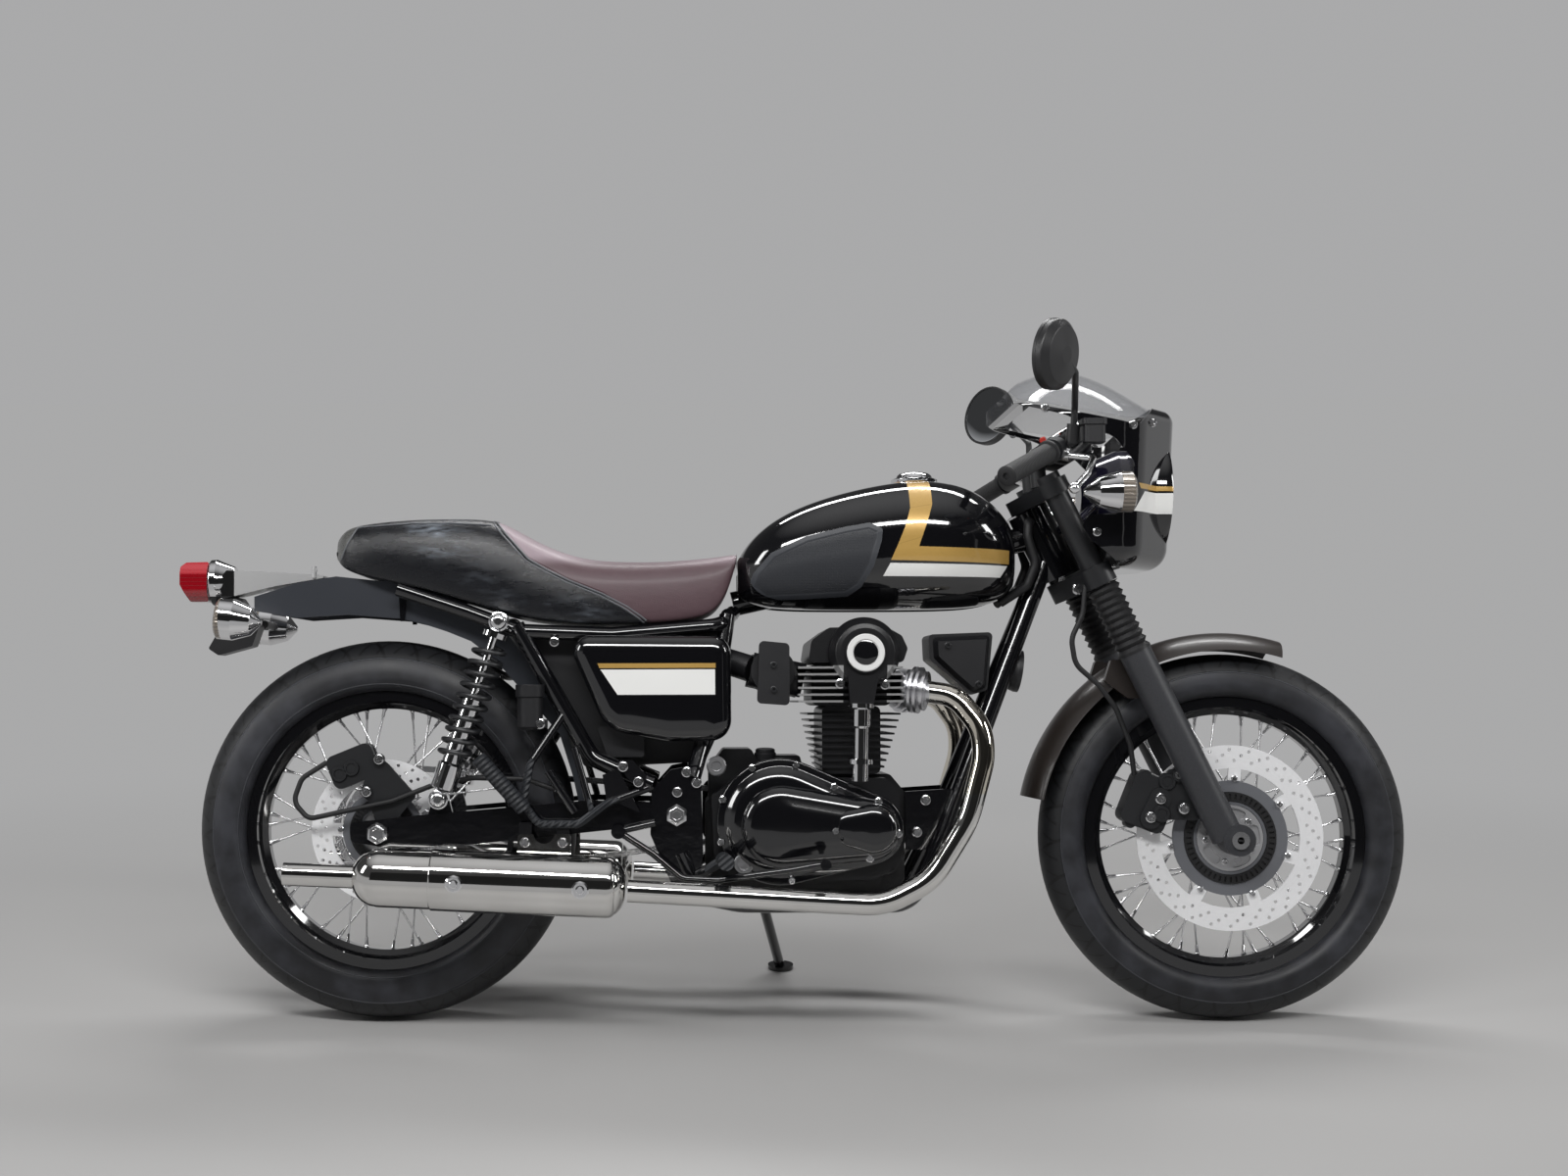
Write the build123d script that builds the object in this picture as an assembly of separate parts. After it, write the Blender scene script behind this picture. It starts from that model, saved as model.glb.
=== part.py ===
"""Cafe racer motorcycle with an air-cooled parallel twin, on its side stand.

The bike is drawn upright first: x runs forward from the rear axle, y to the
rider's left and z up from the ground, in millimetres. The last section leans
it onto its stand and sets the origin under the middle of the whole machine.
"""
import os
from math import atan2, cos, degrees, radians, sin

from build123d import *

# Wheels, wheelbase and steering
wheelbase = 1465.0
front_radius = 318.5
rear_radius = 332.5
front_tyre_width = 100.0
rear_tyre_width = 130.0
rake = 26.0
trail = 94.0
lean = 10.0
rim_lip_radius = 243.5
bead_radius = 229.0
rim_bore_radius = 212.5
front_axle = (wheelbase, front_radius)
rear_axle = (0.0, rear_radius)

# Fork, measured along the steering axis from where it meets the ground
leg_spread = 105.0
leg_offset = 44.3
tube_radius = 20.5
slider_radius = 27.5
lower_yoke = 835.0
upper_yoke = 1003.0
gaiter_bottom = 690.0
steer_foot = (wheelbase + trail, 0.0, 0.0)
steer_up = (-sin(radians(rake)), 0.0, cos(radians(rake)))
fork_frame = Plane(origin=steer_foot, x_dir=(cos(radians(rake)), 0, sin(radians(rake))), z_dir=steer_up)
axle_height_on_fork = fork_frame.to_local_coords(Vector(wheelbase, 0, front_radius)).Z

# Brakes and drive
front_disc_radius = 160.0
rear_disc_radius = 125.0
front_disc_side = 65.0
rear_disc_side = 68.0
disc_thickness = 5.0
chain_side = 83.0
rear_sprocket_radius = 104.0
front_sprocket = (592.0, 352.0)
front_sprocket_radius = 43.0

# Frame, engine and exhaust
rail_side = 85.0
rail_level = 208.0
pivot = (511.0, 363.0)
arm_side = 112.0
arm_width = 28.0
case_side = 125.0
pipe_radius = 19.0
silencer_radius = 49.0
silencer_side = 195.0
shock_side = 142.0
stand_pivot = Vector(662.0, 118.0, 200.0)
stand_foot_side = 286.0
stand_foot_x = 705.0
stand_folded = Vector(-1.0, 0.13, -0.06)

parts = {}


def rod(start, end, radius):
    """Round bar between two points."""
    run = Vector(*end) - Vector(*start)
    standing = (Align.CENTER, Align.CENTER, Align.MIN)
    return Plane(origin=start, z_dir=run) * Cylinder(radius, run.length, align=standing)


def bent_tube(points, radius, bend):
    """Round tube along straight runs joined by tangent bends."""
    path = FilletPolyline(*points, radius=bend)
    return sweep(Plane(origin=path @ 0, z_dir=path % 0) * Circle(radius), path=path)


def plate(outline, y_from, y_to, corner=0.0, taper=0.0):
    """Plate cut to a side-view outline of (x, z) points, between two lateral positions."""
    way = -1 if y_to < y_from else 1
    side_view = Plane(origin=(0, y_from, 0), x_dir=(1, 0, 0), z_dir=(0, -1, 0))
    edge = FilletPolyline(*outline, radius=corner, close=True) if corner else Polyline(*outline, close=True)
    return extrude(side_view * make_face(edge), amount=-way * abs(y_to - y_from), taper=taper)


def turned(stations, start, direction, corner=0.0):
    """Solid turned about a line: stations are (distance along it, radius)."""
    outline = [(0, stations[0][0])] + [(r, d) for d, r in stations] + [(0, stations[-1][0])]
    if corner:
        radii = [0] + [corner] * len(stations) + [0]
        edge = FilletPolyline(*outline, radius=radii, close=True)
    else:
        edge = Polyline(*outline, close=True)
    return Plane(origin=start, z_dir=direction) * revolve(Plane.XZ * make_face(edge), axis=Axis.Z)


def ring(outline, centre):
    """Ring about a wheel's lateral axis: outline is a closed list of (y, radius) points."""
    profile = Plane.YZ * make_face(Polyline(*outline, close=True))
    return Pos(centre[0], 0, centre[1]) * revolve(profile, axis=Axis.Y)


def disc(centre, radius, y_from, y_to, bore=0.0):
    """Flat round plate on a lateral axis, with a bore."""
    shape = rod((centre[0], y_from, centre[1]), (centre[0], y_to, centre[1]), radius)
    if bore:
        shape -= rod((centre[0], y_from - 1, centre[1]), (centre[0], y_to + 1, centre[1]), bore)
    return shape


def both_sides(shape):
    """The piece and its mirror image on the other side of the bike."""
    return shape + mirror(shape, about=Plane.XZ)


def polar(centre, radius, angle, y):
    """Point at a radius and angle about a wheel's axis."""
    return (centre[0] + radius * cos(radians(angle)), y, centre[1] + radius * sin(radians(angle)))


def fork_point(forward, y, height):
    """Point given ahead of the steering axis and up along it."""
    return fork_frame.from_local_coords(Vector(forward, y, height))


def wheel_side(centre, y):
    """Plane across a wheel's axis at a lateral place, facing the bike's right."""
    return Plane(origin=(centre[0], y, centre[1]), x_dir=(1, 0, 0), z_dir=(0, -1, 0))


# Wheels: tyre, channel rim, hub with crossed wire spokes
def tyre(centre, radius, width, bead_half):
    crown = width / 2
    widest = radius - crown
    lip = rim_lip_radius + 0.5
    outline = [
        ThreePointArc((-crown, widest), (0, radius), (crown, widest)),
        ThreePointArc((crown, widest), (crown - 3, (widest + lip) / 2 - 2), (bead_half + 6, lip)),
        Line((bead_half + 6, lip), (bead_half, lip)),
        Line((bead_half, lip), (bead_half, bead_radius)),
        Line((bead_half, bead_radius), (-bead_half, bead_radius)),
        Line((-bead_half, bead_radius), (-bead_half, lip)),
        Line((-bead_half, lip), (-bead_half - 6, lip)),
        ThreePointArc((-bead_half - 6, lip), (-crown + 3, (widest + lip) / 2 - 2), (-crown, widest)),
    ]
    profile = Plane.YZ * make_face(Curve() + outline)
    return Pos(centre[0], 0, centre[1]) * revolve(profile, axis=Axis.Y)


def rim(centre, bead_half):
    lip = bead_half + 5
    half = [
        (lip, rim_lip_radius),
        (bead_half, rim_lip_radius),
        (bead_half, bead_radius),
        (14, bead_radius - 1),
        (9, rim_bore_radius + 4.5),
    ]
    inner = [(11, rim_bore_radius), (17, rim_bore_radius + 10), (lip, bead_radius - 3)]
    outline = half + [(-y, r) for y, r in reversed(half)]
    outline += [(-y, r) for y, r in reversed(inner)] + inner
    return ring(outline, centre)


def spokes(centre, flange_radius, flanges, per_flange, swing, lacing_offset):
    """Wire spokes, leading and trailing by turns, from each flange to the rim."""
    wires = []
    for flange_y, phase in flanges:
        for count in range(per_flange):
            way = 1 if count % 2 else -1
            hub_angle = phase + count * 360 / per_flange
            inner = polar(centre, flange_radius, hub_angle, flange_y + way * lacing_offset)
            outer_y = 4.0 if flange_y > 0 else -4.0
            outer = polar(centre, rim_bore_radius - 0.9, hub_angle + way * swing, outer_y)
            wires.append(rod(inner, outer, 1.8))
    return wires


parts["front_tyre"] = tyre(front_axle, front_radius, front_tyre_width, 27.0)
parts["rear_tyre"] = tyre(rear_axle, rear_radius, rear_tyre_width, 41.0)
parts["front_rim"] = rim(front_axle, 27.0)
parts["rear_rim"] = rim(rear_axle, 41.0)

front_hub = ring(
    [
        (-62.5, 10.6), (-62.5, 72), (-56, 72), (-54, 50), (-41, 47), (-41, 60), (-33, 60), (-31, 30),
        (31, 30), (33, 52), (41, 52), (41, 34), (58, 24), (66, 22), (66, 10.6),
    ],
    front_axle,
)
front_wires = spokes(front_axle, 52.0, [(-37.0, 0.0), (37.0, 9.0)], 20, 52.0, 2.2)
hub_face = Circle(57) - Circle(12)
hub_face -= [Rot(0, 0, 6 + 72 * n) * SlotArc(CenterArc((0, 0), 44, -14, 28), 16) for n in range(5)]
hub_star = wheel_side(front_axle, -62) * extrude(hub_face, amount=5.4)
parts["front_hub"] = front_hub + hub_star + front_wires
rear_hub = ring(
    [
        (-65.5, 10.7), (-65.5, 50), (-50, 50), (-48, 58), (-38, 58), (-36, 40),
        (36, 40), (38, 58), (48, 58), (50, 50), (70, 50), (70, 10.7),
    ],
    rear_axle,
)
rear_wires = spokes(rear_axle, 53.0, [(-43.0, 0.0), (43.0, 9.0)], 20, 52.0, 2.2)
parts["rear_hub"] = rear_hub + rear_wires


# Brake discs: side, radius, depth of the drilled band, ears, carrier outside and bore, sensor ring
front_brake = (front_disc_side, front_disc_radius, 40.0, 7, 99.0, 58.0, 79.0)
rear_brake = (rear_disc_side, rear_disc_radius, 36.0, 5, 70.0, 40.0, 58.0)
hole_rows = 3
hole_steps = 28
sensor_slots = 48


def brake_disc(centre, side, radius, band, ears, carrier, bore, sensor):
    """Drilled band on ears round a carrier, with the slotted ring that the wheel speed sensor reads."""
    ear_reach = carrier + 4
    face = Circle(radius) - Circle(radius - band)
    for step in range(hole_steps):
        for row in range(hole_rows):
            angle = (step + row * 0.36) * 360 / hole_steps
            face -= Rot(0, 0, angle) * Pos(radius - 8 - 9 * row, 0) * Circle(3.1)
    for ear in range(ears):
        face += Rot(0, 0, 34 + ear * 360 / ears) * Pos(ear_reach + 6, 0) * SlotOverall(36, 22)
    face += Circle(carrier) - Circle(bore)
    ring_face = Circle(sensor) - Circle(sensor - 15)
    for slot_count in range(sensor_slots):
        ring_face -= Rot(0, 0, slot_count * 360 / sensor_slots) * Pos(sensor - 7.5, 0) * Rectangle(9, 3.4)
    outside = -side - disc_thickness / 2
    shape = wheel_side(centre, outside) * extrude(face, amount=-disc_thickness)
    shape += wheel_side(centre, outside + 1) * extrude(ring_face, amount=3.5)
    for ear in range(ears):
        place = polar(centre, ear_reach, 34 + ear * 360 / ears, 0)
        shape += disc(place[::2], 8.5, outside + 1, outside - 0.8)
    return shape


parts["front_disc"] = brake_disc(front_axle, *front_brake)
parts["rear_disc"] = brake_disc(rear_axle, *rear_brake)

# Chain drive on the left
sprocket = disc(rear_axle, rear_sprocket_radius - 8, chain_side - 3, chain_side + 3, 30.0)
sprocket -= [disc(polar(rear_axle, 72, 60 * n, 0)[::2], 17, chain_side - 5,
                  chain_side + 5) for n in range(6)]
sprocket += disc(rear_axle, 50.0, 70.0, chain_side - 3, 30.0)
parts["rear_sprocket"] = sprocket


def chain_band(y_from, y_to, thickness_out, thickness_in):
    """Closed loop of side plates round both sprockets."""
    outer = make_hull(
        (Pos(*rear_axle) * Circle(rear_sprocket_radius + thickness_out)).edges()
        + (Pos(*front_sprocket) * Circle(front_sprocket_radius + thickness_out)).edges()
    )
    inner = make_hull(
        (Pos(*rear_axle) * Circle(rear_sprocket_radius - thickness_in)).edges()
        + (Pos(*front_sprocket) * Circle(front_sprocket_radius - thickness_in)).edges()
    )
    side_view = Plane(origin=(0, y_from, 0), x_dir=(1, 0, 0), z_dir=(0, -1, 0))
    return extrude(side_view * (outer - inner), amount=y_from - y_to)


parts["drive_chain"] = chain_band(chain_side + 6, chain_side + 9, 7.0, 3.0) + chain_band(
    chain_side - 9, chain_side - 6, 7.0, 3.0
)

# Frame: double cradle, backbone, seat rails, pivot plates and the stand's lug
head_low = lower_yoke + 24
head_high = upper_yoke - 16
head_tube = rod(fork_point(0, 0, head_low), fork_point(0, 0, head_high), 30.0)
stand_foot_level = -65.0 * (1 - cos(radians(lean)))
stand_foot = Vector(
    stand_foot_x,
    stand_foot_side * cos(radians(lean)) - stand_foot_level * sin(radians(lean)),
    stand_foot_side * sin(radians(lean)) + stand_foot_level * cos(radians(lean)),
)
stand_axis = (stand_foot - stand_pivot).cross(stand_folded).normalized()

# Frame tubes on the right, mirrored to the left: radius, bend, points
frame_tubes = [
    (16.0, 50.0, [(1160, -12, 800), (968, -rail_side, 320), (912, -rail_side, rail_level),
                  (620, -rail_side, rail_level), (548, -120, 226), (520, -124, 300)]),
    (13.0, 35.0, [(610, -18, 712), (588, -80, 688), (400, -100, 672), (240, -110, 678), (150, -108, 712),
                  (30, -100, 752)]),
    (15.0, 40.0, [(235, -112, 688), (365, -104, 460), (472, -131, 414)]),
    (14.0, 30.0, [(600, -60, 706), (578, -92, 560), (554, -102, 480), (538, -128, 425)]),
]
frame = head_tube
frame += rod(fork_point(-24, 0, head_high - 40), (610, 0, 728), 22.0)
for radius, bend, points in frame_tubes:
    frame += both_sides(bent_tube(points, radius, bend))
pivot_plate = [(468, 405), (500, 440), (552, 450), (556, 300), (545, 222), (512, 222), (466, 330)]
frame += both_sides(plate(pivot_plate, -128, -134, corner=8))
frame += both_sides(rod((60, -103, 741), (60, -76.2, 741), 8.0))
frame += both_sides(plate([(28, 752), (42, 752), (39, 697), (31, 697)], -76.2, -80))
frame += rod((600, -60, 706), (600, 60, 706), 12.0)
frame += rod((1085, -46, 612), (1085, 46, 612), 8.0)
frame += rod((544, -118, 238), (544, 118, 238), 14.0)
frame += both_sides(rod((209, -100, 694), (209, -128, 694), 12.0))
frame += rod((pivot[0], -134, pivot[1]), (pivot[0], 134, pivot[1]), 9.0)
mount_plate = [(905, 300), (958, 300), (996, 390), (985, 405), (905, 400)]
frame += both_sides(plate(mount_plate, -74, -80))
stand_lug = Plane(origin=stand_pivot, z_dir=stand_axis)
lug_disc = stand_lug * Pos(0, 0, -14) * Cylinder(19, 8, align=(Align.CENTER, Align.CENTER, Align.MIN))
stand_pin = stand_lug * Pos(0, 0, -14) * Cylinder(6, 31, align=(Align.CENTER, Align.CENTER, Align.MIN))
lug_arm = rod(stand_pivot - stand_axis * 20, (stand_pivot.X, rail_side, rail_level), 10.0)
frame += [lug_arm, lug_disc, stand_pin]
parts["frame"] = frame

# Side stand, down on its stop
leg_eye = stand_lug * Pos(0, 0, -5.5) * Cylinder(14, 19, align=(Align.CENTER, Align.CENTER, Align.MIN))
leg = rod(stand_pivot + stand_axis * 4, stand_foot + (stand_pivot - stand_foot).normalized() * 8, 9.5)
foot_pad = Rot(lean, 0, 0) * Pos(stand_foot_x, stand_foot_side, stand_foot_level) * Cylinder(
    24, 8, align=(Align.CENTER, Align.CENTER, Align.MIN)
)
side_stand = leg + leg_eye + foot_pad
side_stand -= stand_lug * Cylinder(6.4, 60)
parts["side_stand"] = side_stand

# Swingarm and rear axle
arm_outline = [(-48, 350), (-48, 318), (20, 306), (150, 312), (470, 345), (470, 385), (360, 388), (60, 362)]
swingarm = both_sides(plate(arm_outline, -arm_side + arm_width / 2, -arm_side - arm_width / 2, corner=8))
swingarm += rod((395, -105, 362), (395, 105, 362), 24.0)
swingarm += rod((pivot[0], -86, pivot[1]), (pivot[0], 86, pivot[1]), 22.0)
swingarm += both_sides(plate([(400, 345), (530, 345), (530, 381), (400, 381)], -60, -86))
swingarm += both_sides(rod((106, -110, 391), (106, -128, 391), 10.0) + plate(
    [(80, 350), (130, 350), (118, 398), (94, 398)], -104, -116))
for name, place in (("axle", rear_axle), ("pivot", pivot)):
    swingarm -= rod((place[0], -150, place[1]), (place[0], 150, place[1]), 10.0 if name == "axle" else 9.0)
parts["swingarm"] = swingarm
axle = rod((0, -140, rear_radius), (0, 140, rear_radius), 10.0)
axle += both_sides(disc(rear_axle, 17, -126, -138))
axle += disc(rear_axle, 16, -98, -71) + disc(rear_axle, 16, 98, 88)
parts["rear_axle"] = axle

# Shock absorbers: chrome body, rod and eyes with a black coil over them
shock_top = Vector(209, -shock_side, 693)
shock_bottom = Vector(106, -shock_side, 391)
shock_run = shock_top - shock_bottom
shock_stations = [(16, 13), (20, 22), (62, 22), (66, 17), (180, 17), (182, 7), (290, 7), (291, 22),
                  (300, 22),
                  (301, 13)]
shock = turned(shock_stations, shock_bottom, shock_run)
for eye in (shock_bottom, shock_top):
    shock += rod(eye + Vector(0, 13, 0), eye - Vector(0, 13, 0), 17.0)
    shock -= rod(eye + Vector(0, 20, 0), eye + Vector(0, -5, 0), 10.0 if eye is shock_bottom else 12.0)
parts["shock_absorbers"] = both_sides(shock)
coil_pitch = 20.0
coil_radius = 26.0
coil_start = 70.0
coil_length = 206.0
coil_path = Helix(pitch=coil_pitch, height=coil_length, radius=coil_radius)
wire = Plane(origin=coil_path @ 0, z_dir=coil_path % 0) * RegularPolygon(4.2, 8)
coil = Plane(origin=shock_bottom, z_dir=shock_run) * Pos(0, 0, coil_start) * sweep(wire, path=coil_path,
                                                                                   is_frenet=True)
parts["shock_springs"] = both_sides(coil)

# Engine
sump_side = 64.0
sump_outline = [(560, 380), (560, 270), (600, 212), (650, 196), (850, 196), (905, 246), (905, 400),
                (880, 430),
                (640, 432), (600, 425)]
crankcase = plate(sump_outline, -sump_side, sump_side, corner=10)
crankcase += plate([(640, 425), (650, 462), (725, 462), (735, 425)], -50, 50, corner=6)
crankcase += plate([(566, 380), (566, 440), (592, 474), (640, 474), (664, 430), (640, 380)], -sump_side,
                   sump_side,
                   corner=8)
crankcase += plate([(570, 395), (575, 290), (640, 252), (850, 252), (890, 280), (890, 400), (870, 425),
                    (620, 428)], -case_side, case_side, corner=12)
crankcase -= disc(front_sprocket, 60, 68, case_side + 1)
crankcase -= plate([(540, 292), (600, 292), (600, 412), (540, 412)], 68, case_side + 1)
crankcase += disc(front_sprocket, 20, 67, case_side)
parts["crankcase"] = crankcase
clutch_centre = (681.0, 371.0)
crank_centre = (825.0, 347.0)


def round_cover(y_from, y_to, rear, big, front, small, rounding):
    """Engine cover drawn round two circles and rounded over its outer edge."""
    hull = make_hull((Pos(*rear) * Circle(big)).edges() + (Pos(*front) * Circle(small)).edges())
    side_view = Plane(origin=(0, y_from, 0), x_dir=(1, 0, 0), z_dir=(0, -1, 0))
    cover = extrude(side_view * hull, amount=y_from - y_to)
    outer_face = cover.faces().sort_by(Axis.Y)[0]
    return fillet(outer_face.edges(), radius=rounding)


# Right cover in steps from the case: depth, rear circle, front circle, rounding
cover_steps = [
    (14.0, clutch_centre, 98.0, crank_centre, 68.0, 4.0),
    (44.0, clutch_centre, 86.0, crank_centre, 54.0, 38.0),
    (50.0, (778.0, 351.0), 34.0, (842.0, 345.0), 38.0, 16.0),
]
right_cover = Part()
for depth, rear, big, front, small, rounding in cover_steps:
    right_cover += round_cover(-case_side, -case_side - depth, rear, big, front, small, rounding)
left_cover = disc(crank_centre, 72, case_side, 168) + plate(
    [(556, 415), (556, 300), (700, 296), (770, 330), (770, 400), (700, 425)], case_side, 146, corner=20)
parts["engine_covers"] = right_cover + left_cover

cylinder_block = plate([(760, 432), (860, 432), (860, 548), (760, 548)], -112, 112, corner=10)
# Cylinder fins: count, lowest level, pitch, then rear and front ends of the lowest and the highest
fin_count, fin_level, fin_pitch = 9, 444.0, 11.3
fin_low, fin_high = (756.0, 866.0), (735.0, 894.0)
for fin in range(fin_count):
    share = fin / (fin_count - 1)
    rear, front = (low + (high - low) * share for low, high in zip(fin_low, fin_high))
    cylinder_block += Pos((rear + front) / 2, 0, fin_level + fin * fin_pitch) * Box(front - rear, 236, 3.2)
parts["cylinder_block"] = cylinder_block
cam_boss = (831.0, 638.0)
cylinder_head = plate([(742, 548.5), (878, 548.5), (878, 620), (742, 620)], -120, 120, corner=12)
for fin in range(6):
    cylinder_head += Pos(807, 0, 556 + fin * 11.5) * Box(178, 290, 3.6)
cylinder_head += plate([(736, 622), (742, 660), (772, 682), (868, 684), (896, 668), (906, 646), (898, 622)],
                       -128, 128,
                       corner=10)
cylinder_head += turned([(0, 62), (14, 60), (30, 50), (32, 42)], (cam_boss[0], -128, cam_boss[1]),
                        (0, -1, 0),
                        corner=3)
cylinder_head += plate([(800, 616), (856, 616), (845, 552), (805, 552)], -140, -162)
cylinder_head += disc(cam_boss, 34, -160, -168)
cylinder_head += both_sides(rod((870, -92, 581), (899, -100, 579), 23))
parts["cylinder_head"] = cylinder_head
cam_drive_tube = turned([(0, 21), (8, 21), (9, 13), (60, 13), (64, 16), (92, 16), (95, 21), (102, 21)],
                                 (822, -152, 450), (0.02, 0, 1)) + turned([(0, 14), (30, 14)],
                                 (821, -152, 421), (0.02, 0, 1))
parts["cam_drive_tube"] = cam_drive_tube - parts["engine_covers"] - cylinder_head
throttle = both_sides(disc((677, 609), 38, -60, -110)) + plate(
    [(649, 553), (704, 549), (704, 655), (653, 660)], -134, -110, corner=8)
throttle += both_sides(rod((640, -70, 612), (730, -70, 592), 30.0))
throttle += rod((677, -112, 609), (677, 112, 609), 10)
parts["throttle_bodies"] = throttle - cylinder_head

# Exhaust on the right, mirrored to the left
pipe_points = [(900, -101, 578), (986, -130, 565), (1027, -150, 511), (1030, -160, 461), (1000, -175, 355),
               (938, -185, 257), (857, -190, 216), (776, -190, 220), (429, -silencer_side, 240)]
pipe = bent_tube(pipe_points, pipe_radius, [60, 80, 120, 200, 120, 120, 200])
for rib, rib_radius in enumerate((34, 40, 40, 34)):
    rib_place = Plane(origin=(909 + rib * 9, -104 - rib * 3.2, 577 - rib * 1.3), z_dir=(42, -15, -6))
    pipe += rib_place * Cylinder(rib_radius, 5)
    pipe += rib_place * Cylinder(26, 10)
parts["exhaust_pipes"] = both_sides(pipe) - cylinder_head
silencer_front = Vector(424, -silencer_side, 245)
silencer_rear = Vector(-31, -silencer_side, 264)
silencer_length = (silencer_rear - silencer_front).length
silencer_stations = [(0, 21), (6, 34), (22, silencer_radius), (silencer_length - 40, silencer_radius),
                     (silencer_length - 8, 32), (silencer_length, 20), (silencer_length + 118, 19.5)]
silencer = turned(silencer_stations, silencer_front, silencer_rear - silencer_front)
silencer -= rod(silencer_rear + (silencer_rear - silencer_front) * 0.05,
                silencer_rear + (silencer_rear - silencer_front) * 0.3, 17.5)
hanger = plate([(241, 332), (241, 262), (331, 262), (331, 332)], -150.2, -154.2, corner=5)
hanger -= disc((286, 334), 18, -148, -156)
hanger += disc((254, 318), 10, -150.2, -158) + disc((318, 318), 10, -150.2, -158)
parts["silencers"] = both_sides(silencer + hanger)


# Tank, seat and panels: bodies lofted through rounded sections across the bike
def lofted(sections, corner_share=0.45):
    """Body through sections: x, half width, bottom, top."""
    faces = []
    for x, half_width, bottom, top in sections:
        height = top - bottom
        corner = corner_share * min(height, 2 * half_width)
        cross = Plane(origin=(x, 0, (top + bottom) / 2), x_dir=(0, 1, 0), z_dir=(1, 0, 0))
        faces.append(cross * RectangleRounded(2 * half_width, height, corner))
    return loft(faces)


tank_sections = [
    (618, 62, 742, 802), (660, 104, 722, 855), (735, 128, 716, 898), (870, 134, 715, 935),
    (1000, 129, 717, 934), (1066, 104, 728, 899), (1098, 72, 752, 856),
]
fuel_tank = lofted(tank_sections)
tunnel = plate([(600, 700), (600, 775), (1085, 900), (1120, 900), (1120, 700)], -36, 36)
fuel_tank -= tunnel
fuel_tank += turned([(0, 40), (14, 40), (20, 34)], (932, 0, 929), (0, 0, 1))
parts["fuel_tank"] = fuel_tank
pad_outline = [(635, 752), (644, 777), (674, 811), (733, 838), (800, 854), (842, 861), (864, 850),
               (862, 830),
               (849, 787), (828, 751), (806, 736), (733, 732), (664, 730)]
knee_pads = both_sides(plate(pad_outline, -90, -137, corner=6))
knee_pads -= fuel_tank
knee_pads &= lofted([(x, w + 3.5, b, t + 3.5) for x, w, b, t in tank_sections])
parts["knee_pads"] = Part() + [solid for solid in knee_pads.solids() if solid.volume > 2000]
seat_sections = [
    (-86, 56, 806, 848), (-52, 98, 783, 867), (60, 124, 768, 877), (165, 130, 737, 877),
    (232, 128, 715, 858),
    (305, 122, 698, 820), (393, 116, 691, 803), (480, 106, 697, 802), (565, 88, 716, 809),
    (612, 74, 744, 813),
]
parts["seat"] = lofted(seat_sections, 0.4) - parts["frame"]
cover_outline = [(322, 672), (340, 684), (596, 670), (608, 655), (608, 530), (566, 490), (416, 493),
                 (366, 527),
                 (330, 620)]
side_cover = plate(cover_outline, -120, -146, corner=14, taper=20)
parts["side_covers"] = both_sides(side_cover)
airbox = plate([(250, 662), (288, 686), (576, 686), (604, 650), (600, 540), (560, 452), (350, 442),
                (332, 500),
                (290, 600)], -74, 74, corner=12)
airbox += both_sides(rod((585, -38, 632), (640, -66, 614), 22))
cover_tray = plate([(374, 514), (455, 514), (455, 461), (392, 461)], -96, -100, corner=5)
parts["airbox"] = airbox + both_sides(cover_tray + plate([(380, 510), (450, 510), (450, 470), (396, 470)],
                                                         -70, -97))
parts["airbox"] -= parts["frame"]
parts["airbox"] -= parts["throttle_bodies"]

# Rear mudguard, a deep channel over the tyre
guard_top = [(-225, 741), (-150, 765), (-82, 776), (29, 764), (130, 735), (215, 678), (280, 590), (322, 500),
             (340, 430), (352, 378)]
guard_edge = [(342, 378), (330, 430), (308, 500), (248, 570), (197, 628), (154, 662), (112, 679), (69, 693),
              (31, 702),
              (-60, 709), (-150, 704), (-225, 716)]
rear_guard = plate(guard_top + guard_edge, -76, 76)
hollow_top = [(x - 3.5 * (x > 0), z - 4) for x, z in guard_top]
hollow_top[0] = (-240, 733)
rear_guard -= plate(hollow_top + [(300, 350), (-240, 350)], -73, 73)
rear_guard -= plate([(300, 370), (360, 370), (360, 436), (300, 436)], 68, 78)
parts["rear_mudguard"] = rear_guard

# Tail light, plate holder and indicators
lens = plate([(-366, 797), (-358, 805), (-318, 806), (-318, 735), (-350, 735), (-366, 765)], -38, 38,
             corner=4)
parts["tail_lens"] = lens & rod((-380, 0, 770), (-300, 0, 770), 41)
housing = turned([(0, 41), (12, 41), (20, 37), (44, 26)], (-316.2, 0, 770), (1, 0, 0.04), corner=3)
arm_outline = [(-300, 771), (-284, 790), (-190, 786), (-112, 781), (-112, 776), (-196, 762), (-290, 740)]
housing += plate(arm_outline, -34, 34, corner=2)
housing += plate([(-300, 745), (-262, 742), (-228, 690), (-240, 656), (-300, 640), (-318, 652), (-290, 700)],
                 -24, 24,
                 corner=4)
housing += disc((-128, 790), 5, -30, -36) + rod((-128, -33, 776), (-128, -33, 796), 4)
parts["tail_light"] = housing - parts["rear_mudguard"]
bullet = turned([(0, 30), (4, 35), (30, 35), (60, 24), (77, 4)], (-271, -160, 700), (1, 0, -0.1), corner=2)
bullet += rod((-232, -160, 697), (-232, -42, 697), 7)
parts["rear_indicators"] = both_sides(bullet)

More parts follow.
